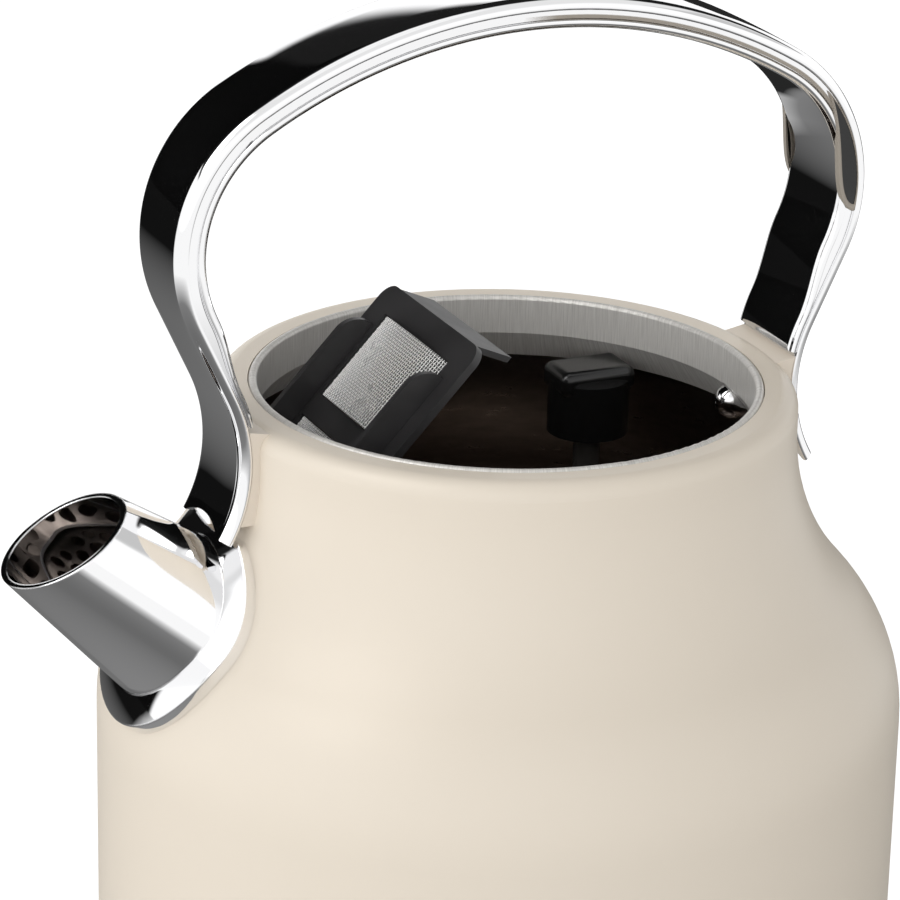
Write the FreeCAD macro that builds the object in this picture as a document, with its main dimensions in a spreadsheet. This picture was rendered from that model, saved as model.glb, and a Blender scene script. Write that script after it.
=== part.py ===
import FreeCAD, Part
import math
import os
import Sketcher

# Electric kettle with a round body, a cone spout and a chrome strap handle, standing on its
# power base. Z is up, the kettle's centre line is the Z axis, the spout points to -X and the
# handle's plane is XZ. The base's feet stand on z = 0.

V = FreeCAD.Vector
os.makedirs("parts", exist_ok=True)
doc = FreeCAD.newDocument("electric_kettle")
sheet = doc.addObject("Spreadsheet::Sheet", "Sizes")

SIZES = [
    # painted body
    ("body_r", 92.0, "outer radius of the painted body"),
    ("neck_r", 65.4, "outer radius of the neck"),
    ("neck_z", 163.4, "height where the straight neck ends"),
    ("shoulder_in_r", 57.4, "hollow arc below the neck"),
    ("shoulder_out_r", 43.2, "round arc of the shoulder"),
    ("rim_z", 172.0, "height of the rim"),
    ("rim_round", 4.0, "outer edge round of the rim"),
    ("shell_z", 38.0, "lower edge of the painted body"),
    ("shell_t", 1.2, "wall of the painted body"),
    # inner pot and neck ring
    ("ring_seat_r", 57.8, "hole in the rim that takes the neck ring"),
    ("ring_in_r", 55.7, "mouth radius inside the neck ring"),
    ("ring_rise", 0.4, "how far the ring stands above the rim"),
    ("ring_bend", 0.9, "edge round of the neck ring"),
    ("ring_deep", 8.7, "straight depth of the neck ring"),
    ("flare_deep", 7.3, "height of the flare under the neck ring"),
    ("flare_out", 5.4, "how far the flare widens"),
    ("flare_t", 1.2, "wall of the flare"),
    ("seam_gap", 0.15, "seam between the ring and the rim"),
    ("pot_gap", 0.8, "air gap between body and inner pot"),
    ("pot_t", 0.8, "wall of the inner pot"),
    ("pot_top_z", 167.5, "upper edge of the inner pot"),
    ("floor_z", 51.0, "underside of the pot floor"),
    ("floor_bend", 9.0, "round between pot wall and floor"),
    # spout
    ("mouth_x", -105.7, "spout mouth centre"),
    ("mouth_z", 148.5, "spout mouth centre"),
    ("spout_turn", 50.1, "lean of the spout from upright"),
    ("mouth_lean", 30.0, "slope of the spout mouth"),
    ("spout_root_r", 21.5, "spout radius at its root"),
    ("spout_root_len", 50.0, "root distance behind the mouth"),
    ("spout_tip_r", 12.8, "spout radius at the uncut tip"),
    ("spout_tip_len", 12.0, "uncut tip in front of the mouth"),
    ("spout_t", 1.3, "wall of the spout"),
    ("collar_r", 25.8, "radius of the spout collar"),
    ("collar_t", 3.0, "height of the collar on the body"),
    ("seal_w", 2.2, "width of the seal ring"),
    ("hole_r", 2.6, "strainer hole radius"),
    ("hole_pitch", 7.0, "distance between strainer holes"),
    # handle
    ("strap_w", 25.0, "width of the handle strap"),
    ("strap_t", 3.0, "thickness of the outer strap"),
    ("grip_t", 4.2, "thickness of the inner strap"),
    ("grip_low_t", 1.7, "thickness of the inner strap near its feet"),
    ("grip_foot_z", 172.7, "lower ends of the inner strap"),
    ("arch_r", 127.0, "top arc of the handle"),
    ("corner_r", 38.0, "corner arcs of the handle"),
    ("corner_x", 45.5, "centre of the corner arcs"),
    ("corner_z", 212.0, "centre of the corner arcs"),
    ("foot_r", 34.0, "hollow arcs of the feet"),
    ("foot_x", 103.0, "centre of the foot arcs"),
    ("foot_z", 165.0, "centre of the foot arcs"),
    ("toe_z", 149.5, "outer tip of the feet"),
    ("toe_cut", 1.9, "drop of the slanted foot end"),
    ("toe_gap", 0.35, "air between handle foot and collar"),
    ("toe_arch_r", 18.0, "arch cut in the foot end"),
    ("toe_arch_rise", 3.0, "rise of the arch in the foot end"),
    ("strap_bend", 1.1, "edge round of the outer strap"),
    ("grip_bend", 0.7, "edge round of the inner strap"),
    ("band_t", 1.8, "thickness of the grip band"),
    ("band_rear_z", 208.0, "rear end of the grip band"),
    ("band_front_z", 238.0, "front end of the grip band"),
    ("band_inset", 0.4, "band edge behind the strap edge"),
    ("pad_inset", 0.3, "saddle pads behind the strap edge"),
    ("pad_low_z", 151.0, "lower end of the saddle pads"),
    ("pad_top_z", 172.5, "upper end of the saddle pads"),
    ("stud_z", 159.0, "height of the handle studs"),
    ("stud_r", 2.0, "radius of the handle studs"),
    ("stud_gap", 0.2, "clearance around the studs"),
    ("nut_r", 4.2, "radius of the domed nuts"),
    ("nut_seat", 62.3, "outer face of the domed nuts"),
    ("nut_len", 4.6, "straight length of the domed nuts"),
    # steam tube
    ("steam_x", 36.0, "steam tube"),
    ("steam_y", 30.0, "steam tube"),
    ("steam_r", 3.2, "steam tube"),
    ("steam_bore", 2.4, "steam tube"),
    ("steam_low_z", 40.0, "steam tube lower end"),
    ("steam_top_z", 154.5, "steam tube upper end"),
    ("cap_r", 9.6, "steam cap skirt radius"),
    ("cap_len", 19.0, "steam cap length"),
    ("cap_w", 13.0, "steam cap width"),
    ("cap_h", 6.5, "steam cap height"),
    ("cap_low", 10.0, "depth of the steam cap skirt"),
    ("vent_w", 4.6, "steam inlet under the cap"),
    ("vent_h", 4.0, "steam inlet under the cap"),
    ("cap_bend", 2.4, "steam cap edge round"),
    # heater and electrics
    ("plate_r", 70.0, "heat plate"),
    ("plate_t", 3.0, "heat plate"),
    ("coil_r", 60.0, "heating element ring"),
    ("coil_tube_r", 3.5, "heating element tube"),
    ("coil_sweep", 320.0, "heating element sweep"),
    ("unit_r", 26.0, "control unit"),
    ("socket_r", 21.5, "kettle connector outer radius"),
    ("socket_bore", 16.5, "kettle connector bore"),
    ("socket_roof", 3.0, "roof of the kettle connector"),
    ("socket_top_z", 41.0, "upper face of the kettle connector"),
    # lower body
    ("trim_r", 92.6, "chrome trim ring"),
    ("trim_in_r", 84.0, "chrome trim ring bore"),
    ("skirt_top_z", 34.0, "upper face of the black skirt"),
    ("skirt_top_r", 90.0, "skirt radius at the top"),
    ("skirt_low_r", 86.0, "skirt radius at the bottom"),
    ("skirt_in_r", 83.5, "inner radius of the skirt"),
    ("deck_r", 67.0, "inner radius of the skirt deck"),
    ("deck_t", 2.0, "thickness of the skirt deck"),
    ("cover_lift", 2.0, "bottom cover above the skirt edge"),
    ("cover_t", 2.0, "bottom cover"),
    ("fit_gap", 0.2, "clearance of seated discs and bushes"),
    # switch
    ("pivot_x", 76.0, "switch pivot"),
    ("pivot_z", 27.0, "switch pivot"),
    ("pin_r", 1.5, "switch pin"),
    ("pin_gap", 0.05, "running clearance on the pin"),
    ("lever_hub_r", 3.5, "hub of the switch lever"),
    ("lever_w", 20.0, "width of the switch lever"),
    ("lever_t", 4.0, "thickness of the switch lever"),
    ("lever_tip_x", 97.0, "tip of the switch lever"),
    ("lever_bend", 1.2, "edge round of the switch lever"),
    ("ear_gap", 0.6, "side clearance of the lever"),
    ("ear_t", 2.5, "bracket ear"),
    ("slot_side", 1.0, "side clearance of the switch slot"),
    ("slot_low_z", 22.0, "lower edge of the switch slot"),
    ("slot_top_z", 31.6, "upper edge of the switch slot"),
    ("lens_len", 3.0, "indicator lens length"),
    ("lens_w", 9.0, "indicator lens width"),
    ("lens_t", 1.0, "indicator lens thickness"),
    # power base
    ("foot_h", 3.0, "rubber feet"),
    ("foot_pad_r", 7.0, "rubber feet"),
    ("foot_place", 54.0, "rubber feet from the centre lines"),
    ("base_r", 88.5, "power base"),
    ("base_top_z", 18.0, "power base top, where the kettle stands"),
    ("base_bend", 2.0, "power base edge round"),
    ("base_t", 2.5, "power base wall"),
    ("tray_t", 2.0, "power base bottom plate"),
    ("hub_r", 15.0, "base connector"),
    ("hub_top_z", 34.0, "base connector"),
    ("hub_bore", 4.0, "base connector bore"),
    ("hub_bore_deep", 12.0, "base connector bore"),
    ("hub_bend", 2.0, "base connector edge round"),
    ("contact_t", 0.4, "contact rings"),
    ("contact_h", 2.0, "contact rings"),
    ("contact_low_z", 24.0, "lower contact ring"),
    ("contact_step", 5.0, "distance between contact rings"),
    ("probe_r", 1.6, "centre contact"),
    ("probe_top_z", 32.0, "centre contact"),
    ("post_r", 4.0, "screw posts"),
    ("post_gap", 0.0, "screw posts"),
    ("screw_r", 1.4, "screw shank"),
    ("screw_deep", 7.0, "screw depth in its post"),
    ("head_r", 3.0, "screw head"),
    ("head_h", 1.4, "screw head"),
    ("base_screw_place", 62.0, "base screws from the centre"),
    ("cover_screw_place", 72.0, "cover screws from the centre"),
    ("gland_z", 10.0, "cord gland"),
    ("gland_r", 4.6, "cord gland"),
    ("gland_bore", 3.2, "cord gland"),
    ("gland_flange_r", 6.0, "cord gland flange"),
    ("gland_out", 2.5, "cord gland in front of the wall"),
    ("gland_in", 4.0, "cord gland behind the wall"),
    # filter
    ("filter_x", -60.4, "lower edge of the filter"),
    ("filter_z", 144.3, "lower edge of the filter"),
    ("filter_turn", 43.4, "lean of the filter from upright"),
    ("filter_w", 49.0, "width of the filter"),
    ("filter_len", 62.0, "length of the filter"),
    ("filter_t", 1.8, "plate of the filter"),
    ("filter_bend", 4.0, "corner round of the filter"),
    ("window_w", 34.0, "mesh windows"),
    ("window_top", 55.5, "upper window"),
    ("window_mid_top", 32.5, "upper window"),
    ("window_mid_low", 26.5, "lower window"),
    ("window_low", 5.0, "lower window"),
    ("rib_t", 1.6, "side ribs of the filter"),
    ("rib_h", 6.0, "side ribs of the filter"),
    ("rib_low", 9.0, "side ribs of the filter"),
    ("rib_top", 52.0, "side ribs of the filter"),
    ("rib_place", 19.0, "side ribs of the filter"),
    ("tab_len", 9.5, "finger tab of the filter"),
    ("tab_rise", 3.1, "finger tab of the filter"),
    ("tab_t", 1.5, "finger tab of the filter"),
    ("mesh_t", 0.6, "filter mesh"),
    ("mesh_rise", 2.6, "bulge of the filter mesh"),
    ("seat_w", 24.0, "filter seat on the pot wall"),
    ("seat_low_z", 137.0, "filter seat"),
    ("seat_top_z", 145.6, "filter seat"),
    ("seat_front_x", -54.0, "filter seat"),
    ("seat_back_x", -75.0, "filter seat"),
    ("seat_gap", 0.25, "clearance of the filter in its seat"),
]
for row, (name, size, note) in enumerate(SIZES, 1):
    sheet.set("A%d" % row, name)
    sheet.set("B%d" % row, str(size))
    sheet.setAlias("B%d" % row, name)
    sheet.set("C%d" % row, note)
doc.recompute()


def num(text):
    """Length behind a sum of sheet names and plain numbers, such as "rim_z - 2*shell_t"."""
    total = 0.0
    sign = 1.0
    for word in text.split():
        if word in ("+", "-"):
            sign = 1.0 if word == "+" else -1.0
            continue
        term = 1.0
        for factor in word.split("*"):
            term *= float(sheet.get(factor)) if factor[0].isalpha() else float(factor)
        total += sign * term
    return total


def link(text):
    """The same sum as a formula on the sheet."""
    words = []
    for word in text.split():
        if word in ("+", "-"):
            words.append(word)
            continue
        factors = ["Sizes." + part if part[0].isalpha() else part for part in word.split("*")]
        words.append("*".join(factors))
    return " ".join(words)


def minus(text, inset):
    """The sum less every term of inset."""
    words = [{"+": "-", "-": "+"}.get(word, word) for word in inset.split()]
    if words[0] not in ("+", "-"):
        words.insert(0, "-")
    return text + " " + " ".join(words)


def bind(item, **fields):
    """Ties properties to sums; a double underscore stands for a dot."""
    for field, text in fields.items():
        item.setExpression(field.replace("__", "."), link(text))


def place(item, x="0", y="0", z="0"):
    for letter, text in zip("xyz", (x, y, z)):
        if text != "0":
            item.setExpression("Placement.Base." + letter, link(text))


def new_body(name):
    body = doc.addObject("PartDesign::Body", name)
    body.Label = name
    return body


def new_sketch(body, role, at=("0", "0", "0"), turn=None, axis=V(0, 0, 1)):
    """Sketch on one of the body's origin planes, moved and turned by sheet sizes."""
    sketch = body.newObject("Sketcher::SketchObject", body.Name + "_sketch")
    planes = [item for item in body.Origin.OriginFeatures if item.Role == role]
    sketch.AttachmentSupport = [(planes[0], "")]
    sketch.MapMode = "FlatFace"
    if turn is not None:
        spin = FreeCAD.Rotation(axis, num(turn))
        sketch.AttachmentOffset = FreeCAD.Placement(V(0, 0, 0), spin)
        sketch.setExpression("AttachmentOffset.Rotation.Angle", link(turn))
    for letter, text in zip("xyz", at):
        if text != "0":
            sketch.setExpression("AttachmentOffset.Base." + letter, link(text))
    return sketch


def limit(sketch, constraint, text):
    index = sketch.addConstraint(constraint)
    sketch.setExpression("Constraints[%d]" % index, text)


def pin_x(sketch, item, end, text):
    size = num(text)
    if abs(size) < 1e-9:
        sketch.addConstraint(Sketcher.Constraint("PointOnObject", item, end, -2))
    elif size > 0:
        limit(sketch, Sketcher.Constraint("DistanceX", -1, 1, item, end, size), link(text))
    else:
        formula = "-1 * (" + link(text) + ")"
        limit(sketch, Sketcher.Constraint("DistanceX", item, end, -1, 1, -size), formula)


def pin_y(sketch, item, end, text):
    size = num(text)
    if abs(size) < 1e-9:
        sketch.addConstraint(Sketcher.Constraint("PointOnObject", item, end, -1))
    elif size > 0:
        limit(sketch, Sketcher.Constraint("DistanceY", -1, 1, item, end, size), link(text))
    else:
        formula = "-1 * (" + link(text) + ")"
        limit(sketch, Sketcher.Constraint("DistanceY", item, end, -1, 1, -size), formula)


def pin(sketch, item, end, spot):
    pin_x(sketch, item, end, spot[0])
    pin_y(sketch, item, end, spot[1])


def radius(sketch, item, text):
    limit(sketch, Sketcher.Constraint("Radius", item, num(text)), link(text))


def join(sketch, one, other):
    sketch.addConstraint(Sketcher.Constraint("Coincident", one[0], one[1], other[0], other[1]))


def tangent(sketch, one, other):
    sketch.addConstraint(Sketcher.Constraint("Tangent", one[0], one[1], other[0], other[1]))


def arc_about(centre, size, start, stop):
    return Part.ArcOfCircle(Part.Circle(centre, V(0, 0, 1), size), start, stop)


def bent_edge(near, far, size, turn):
    """Arc from near to far with its walking ends; turn is left or right."""
    chord = far.sub(near)
    half = chord.Length / 2
    side = V(-chord.y, chord.x, 0).normalize()
    reach = math.sqrt(max(size * size - half * half, 0.0))
    if turn == "right":
        reach = -reach
    centre = near.add(far).multiply(0.5).add(side.multiply(reach))
    start = math.atan2(near.y - centre.y, near.x - centre.x)
    stop = math.atan2(far.y - centre.y, far.x - centre.x)
    if turn == "left":
        return arc_about(centre, size, start, stop), 1, 2
    return arc_about(centre, size, stop, start), 2, 1


def trace(sketch, corners, bends=None, closed=True, loose=()):
    """Outline through corners; bends holds (radius, turn) of the arc leaving a corner."""
    bends = bends or {}
    spots = [V(num(x), num(y), 0) for x, y in corners]
    count = len(spots) if closed else len(spots) - 1
    walk = []
    for step in range(count):
        near = spots[step]
        far = spots[(step + 1) % len(spots)]
        if step in bends:
            size, turn = bends[step]
            edge, first, last = bent_edge(near, far, num(size), turn)
            item = sketch.addGeometry(edge, False)
            walk.append((item, first, last))
        else:
            item = sketch.addGeometry(Part.LineSegment(near, far), False)
            walk.append((item, 1, 2))
    for step in range(count):
        item, first, last = walk[step]
        if step + 1 < count or closed:
            after = walk[(step + 1) % count]
            join(sketch, (item, last), (after[0], after[1]))
        if step not in loose:
            pin(sketch, item, first, corners[step])
    if not closed and count not in loose:
        pin(sketch, walk[-1][0], walk[-1][2], corners[-1])
    for step in bends:
        radius(sketch, walk[step][0], bends[step][0])
    return (walk[0][0], walk[0][1]), (walk[-1][0], walk[-1][2])


def circle(sketch, x, y, size):
    item = sketch.addGeometry(Part.Circle(V(num(x), num(y), 0), V(0, 0, 1), num(size)), False)
    radius(sketch, item, size)
    pin(sketch, item, 3, (x, y))


def turned(body, sketch, axis="V_Axis"):
    feature = body.newObject("PartDesign::Revolution", body.Name + "_turned")
    feature.Profile = sketch
    feature.ReferenceAxis = (sketch, [axis])
    feature.Angle = 360
    return feature


def padded(body, sketch, length, middle=False, back=False):
    feature = body.newObject("PartDesign::Pad", body.Name + "_pad")
    feature.Profile = sketch
    bind(feature, Length=length)
    if middle:
        feature.SideType = "Symmetric"
    feature.Reversed = back
    return feature


def pocketed(body, sketch, length, middle=False, back=False):
    feature = body.newObject("PartDesign::Pocket", body.Name + "_pocket")
    feature.Profile = sketch
    bind(feature, Length=length)
    if middle:
        feature.SideType = "Symmetric"
    feature.Reversed = back
    return feature


def rounded(body, feature, size, least=None):
    """Rounds every edge of the body's last feature, or only its side edges longer than least."""
    doc.recompute()
    fillet = body.newObject("PartDesign::Fillet", body.Name + "_round")
    if least is None:
        fillet.Base = (feature, ["Edge1"])
        fillet.UseAllEdges = True
    else:
        names = []
        for count, edge in enumerate(feature.Shape.Edges, 1):
            if edge.BoundBox.YLength < 1e-4 and edge.Length > least:
                names.append("Edge%d" % count)
        fillet.Base = (feature, names)
    bind(fillet, Radius=size)
    return fillet


def ring(name, corners, bends=None):
    """Piece turned about the kettle's centre line from an outline of (radius, height)."""
    body = new_body(name)
    sketch = new_sketch(body, "XZ_Plane")
    trace(sketch, corners, bends)
    turned(body, sketch)
    return body


def boolean(kind, name, base, tool):
    item = doc.addObject("Part::" + kind, name)
    item.Base = base
    item.Tool = tool
    item.Label = name
    return item


def group(name, items):
    item = doc.addObject("Part::Compound", name)
    item.Links = items
    item.Label = name
    return item


def fuse(name, items):
    item = doc.addObject("Part::MultiFuse", name)
    item.Shapes = items
    item.Label = name
    return item


def rod(name, size, length, x="0", y="0", z="0", axis=None, angle=0):
    """Plain cylinder; axis and angle turn it away from upright."""
    item = doc.addObject("Part::Cylinder", name)
    bind(item, Radius=size, Height=length)
    if axis is not None:
        item.Placement = FreeCAD.Placement(V(0, 0, 0), FreeCAD.Rotation(axis, angle))
    place(item, x, y, z)
    item.Label = name
    return item


def block(name, length, width, height, x="0", y="0", z="0"):
    item = doc.addObject("Part::Box", name)
    bind(item, Length=length, Width=width, Height=height)
    place(item, x, y, z)
    item.Label = name
    return item


def shoulder(sketch, inset, top, low):
    """One side of the jar outline, inset from the painted surface, from top down to low."""
    depth = num(inset)
    inner = num("shoulder_in_r") + depth
    outer = num("shoulder_out_r") - depth
    reach = num("shoulder_in_r + shoulder_out_r")
    sweep = math.acos(1 - num("body_r - neck_r") / reach)
    neck = num("neck_r") - depth
    wide = num("body_r") - depth
    bend_z = num("neck_z")
    waist = V(neck + inner, bend_z, 0)
    hip = V(wide - outer, bend_z - reach * math.sin(sweep), 0)
    upper = sketch.addGeometry(Part.LineSegment(V(neck, num(top), 0), V(neck, bend_z, 0)), False)
    hollow = sketch.addGeometry(arc_about(waist, inner, math.pi, math.pi + sweep), False)
    round_ = sketch.addGeometry(arc_about(hip, outer, 0, sweep), False)
    lower = sketch.addGeometry(Part.LineSegment(V(wide, hip.y, 0), V(wide, num(low), 0)), False)
    sketch.addConstraint(Sketcher.Constraint("Vertical", upper))
    sketch.addConstraint(Sketcher.Constraint("Vertical", lower))
    pin(sketch, upper, 1, (minus("neck_r", inset), top))
    pin_y(sketch, upper, 2, "neck_z")
    tangent(sketch, (upper, 2), (hollow, 1))
    radius(sketch, hollow, "shoulder_in_r + " + inset)
    tangent(sketch, (hollow, 2), (round_, 2))
    radius(sketch, round_, minus("shoulder_out_r", inset))
    tangent(sketch, (round_, 1), (lower, 1))
    pin_x(sketch, lower, 1, minus("body_r", inset))
    pin_y(sketch, lower, 2, low)
    return (upper, 1), (lower, 2)


def jar_solid(name, inset, top, low):
    """Solid jar inside the painted surface, used to trim what meets the body."""
    body = new_body(name)
    sketch = new_sketch(body, "XZ_Plane")
    head, heel = shoulder(sketch, inset, top, low)
    neck = minus("neck_r", inset)
    wide = minus("body_r", inset)
    corners = [(neck, top), ("0", top), ("0", low), (wide, low)]
    first, last = trace(sketch, corners, closed=False, loose=(0, 3))
    join(sketch, head, first)
    join(sketch, last, heel)
    turned(body, sketch)
    return body


# --------------------------------------------------------------- trimming solids
# the painted surface with its rounded rim
surface = new_body("body_surface")
draft = new_sketch(surface, "XZ_Plane")
head, heel = shoulder(draft, "0*shell_t", "rim_z - rim_round", "shell_z")
first, last = trace(
    draft,
    [
        ("neck_r", "rim_z - rim_round"),
        ("neck_r - rim_round", "rim_z"),
        ("0", "rim_z"),
        ("0", "shell_z"),
        ("body_r", "shell_z"),
    ],
    {0: ("rim_round", "left")},
    closed=False,
    loose=(0, 4),
)
join(draft, head, first)
join(draft, last, heel)
turned(surface, draft)

# what lies under the collar's outer face, and both faces of the space round the inner pot
over_surface = jar_solid("collar_surface", "-1*collar_t", "rim_z - rim_round", "shell_z")
shell_inside = jar_solid("shell_inside", "shell_t", "rim_z - rim_round", "shell_z")
POT_OUT = "shell_t + pot_gap"
POT_IN = "shell_t + pot_gap + pot_t"
pot_outside = jar_solid("pot_outside", POT_OUT, "pot_top_z", "floor_z")
pot_inside = jar_solid("pot_inside", POT_IN, "pot_top_z", "floor_z + pot_t")

# --------------------------------------------------------------- painted body
shell = new_body("shell_blank")
draft = new_sketch(shell, "XZ_Plane")
out_head, out_heel = shoulder(draft, "0*shell_t", "rim_z - rim_round", "shell_z")
in_head, in_heel = shoulder(draft, "shell_t", "rim_z - rim_round", "shell_z")
first, last = trace(
    draft,
    [
        ("neck_r", "rim_z - rim_round"),
        ("neck_r - rim_round", "rim_z"),
        ("ring_seat_r", "rim_z"),
        ("ring_seat_r", "rim_z - shell_t"),
        ("neck_r - rim_round", "rim_z - shell_t"),
        ("neck_r - shell_t", "rim_z - rim_round"),
    ],
    {0: ("rim_round", "left"), 4: ("rim_round - shell_t", "right")},
    closed=False,
    loose=(0, 5),
)
join(draft, out_head, first)
join(draft, last, in_head)
foot_line = draft.addGeometry(
    Part.LineSegment(
        V(num("body_r"), num("shell_z"), 0), V(num("body_r - shell_t"), num("shell_z"), 0)
    ),
    False,
)
join(draft, out_heel, (foot_line, 1))
join(draft, (foot_line, 2), in_heel)
turned(shell, draft)

AT_MOUTH = ("mouth_x", "mouth_z", "0")


def about_spout(name, corners, bends=None):
    """Piece turned about the spout's centre line; heights count from the mouth centre."""
    body = new_body(name)
    sketch = new_sketch(body, "XZ_Plane", AT_MOUTH, "spout_turn")
    trace(sketch, corners, bends)
    turned(body, sketch)
    return body


spout_core = about_spout(
    "spout_core",
    [
        ("0", "-1*spout_root_len"),
        ("spout_root_r - spout_t", "-1*spout_root_len"),
        ("spout_tip_r - spout_t", "spout_tip_len"),
        ("0", "spout_tip_len"),
    ],
)
spout_solid = about_spout(
    "spout_solid",
    [
        ("0", "-1*spout_root_len"),
        ("spout_root_r", "-1*spout_root_len"),
        ("spout_tip_r", "spout_tip_len"),
        ("0", "spout_tip_len"),
    ],
)

# holes for the handle studs, front and rear
stud_bores = fuse(
    "stud_bores",
    [
        rod("stud_bore_rear", "stud_r + stud_gap", "0.5*neck_r", "0.75*neck_r", "0", "stud_z",
            V(0, 1, 0), 90),
        rod("stud_bore_front", "stud_r + stud_gap", "0.5*neck_r", "-0.75*neck_r", "0", "stud_z",
            V(0, 1, 0), -90),
    ],
)
body_shell = boolean(
    "Cut", "body_shell", boolean("Cut", "shell_open", shell, spout_core), stud_bores
)

# --------------------------------------------------------------- inner pot
pot = new_body("pot_blank")
draft = new_sketch(pot, "XZ_Plane")
out_head, out_heel = shoulder(draft, POT_OUT, "pot_top_z", "floor_z + floor_bend")
in_head, in_heel = shoulder(draft, POT_IN, "pot_top_z", "floor_z + floor_bend")
lip = draft.addGeometry(
    Part.LineSegment(
        V(num(minus("neck_r", POT_OUT)), num("pot_top_z"), 0),
        V(num(minus("neck_r", POT_IN)), num("pot_top_z"), 0),
    ),
    False,
)
join(draft, out_head, (lip, 1))
join(draft, (lip, 2), in_head)
first, last = trace(
    draft,
    [
        (minus("body_r", POT_OUT), "floor_z + floor_bend"),
        (minus("body_r - floor_bend", POT_OUT), "floor_z"),
        ("0", "floor_z"),
        ("0", "floor_z + pot_t"),
        (minus("body_r - floor_bend", POT_OUT), "floor_z + pot_t"),
        (minus("body_r", POT_IN), "floor_z + floor_bend"),
    ],
    {0: ("floor_bend", "right"), 4: ("floor_bend - pot_t", "left")},
    closed=False,
    loose=(0, 5),
)
join(draft, out_heel, first)
join(draft, last, in_heel)
turned(pot, draft)

# strainer holes behind the spout, in rows along the spout's direction
holes = new_body("strainer_holes")
draft = new_sketch(holes, "XY_Plane", ("mouth_x", "0", "mouth_z"), "-1*spout_turn", V(0, 1, 0))
ROWS = ((-2, 3), (-1, 4), (0, 3), (1, 4), (2, 3))
for row, count in ROWS:
    for place_in_row in range(count):
        across = place_in_row - (count - 1) / 2
        circle(draft, "%g*hole_pitch" % (0.866 * row), "%g*hole_pitch" % across, "hole_r")
padded(holes, draft, "2*spout_root_len + 40", middle=True)
steam_path = rod("steam_path", "steam_r", "steam_top_z - steam_low_z", "steam_x", "steam_y",
                 "steam_low_z")
pot_cut = boolean("Cut", "pot_strained", pot, holes)
pot_cut = boolean("Cut", "pot_studded", pot_cut, stud_bores)
inner_pot = boolean("Cut", "inner_pot", pot_cut, steam_path)

ring_blank = ring(
    "ring_blank",
    [
        ("ring_in_r", "rim_z - ring_deep"),
        ("ring_in_r + flare_out", "rim_z - ring_deep - flare_deep"),
        ("ring_in_r + flare_out + flare_t", "rim_z - ring_deep - flare_deep"),
        ("ring_seat_r - seam_gap", "rim_z - ring_deep"),
        ("ring_seat_r - seam_gap", "rim_z + ring_rise - ring_bend"),
        ("ring_seat_r - seam_gap - ring_bend", "rim_z + ring_rise"),
        ("ring_in_r + ring_bend", "rim_z + ring_rise"),
        ("ring_in_r", "rim_z + ring_rise - ring_bend"),
    ],
    {4: ("ring_bend", "left"), 6: ("ring_bend", "left")},
)
nut_bores = fuse(
    "nut_bores",
    [
        rod("nut_bore_rear", "nut_r + stud_gap", "0.5*neck_r", "0.6*neck_r", "0", "stud_z",
            V(0, 1, 0), 90),
        rod("nut_bore_front", "nut_r + stud_gap", "0.5*neck_r", "-0.6*neck_r", "0", "stud_z",
            V(0, 1, 0), -90),
    ],
)
neck_ring = boolean("Cut", "neck_ring", ring_blank, nut_bores)

# --------------------------------------------------------------- spout
spout_tube = about_spout(
    "spout_blank",
    [
        ("spout_root_r - spout_t", "-1*spout_root_len"),
        ("spout_root_r", "-1*spout_root_len"),
        ("spout_tip_r", "spout_tip_len"),
        ("spout_tip_r - spout_t", "spout_tip_len"),
    ],
)
doc.recompute()
draft = new_sketch(spout_tube, "XZ_Plane", AT_MOUTH, "mouth_lean")
trace(
    draft,
    [
        ("-3*spout_root_r", "0"),
        ("3*spout_root_r", "0"),
        ("3*spout_root_r", "3*spout_root_r"),
        ("-3*spout_root_r", "3*spout_root_r"),
    ],
)
pocketed(spout_tube, draft, "6*spout_root_r", middle=True)
spout = boolean("Cut", "spout", spout_tube, surface)

collar_disc = about_spout(
    "collar_disc",
    [
        ("0", "-1*spout_root_len"),
        ("collar_r", "-1*spout_root_len"),
        ("collar_r", "0"),
        ("0", "0"),
    ],
)
collar = boolean("Common", "collar_blank", collar_disc, over_surface)
collar = boolean("Cut", "collar_seated", collar, surface)
collar = boolean("Cut", "collar_bored", collar, spout_solid)
# The front foot of the handle stands in a notch at the top of the collar.
toe_room = block("toe_room", "1.5*body_r", "strap_w + 2*toe_gap", "neck_z", "-2*body_r",
                 "-0.5*strap_w - toe_gap", "toe_z - 1.5*toe_cut")
spout_collar = boolean("Cut", "spout_collar", collar, toe_room)

seal_disc = about_spout(
    "seal_disc",
    [
        ("spout_root_r", "-1*spout_root_len"),
        ("spout_root_r + seal_w", "-1*spout_root_len"),
        ("spout_root_r + seal_w", "0"),
        ("spout_root_r", "0"),
    ],
)
seal = boolean("Common", "seal_blank", seal_disc, shell_inside)
spout_seal = boolean("Cut", "spout_seal", seal, pot_outside)

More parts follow.
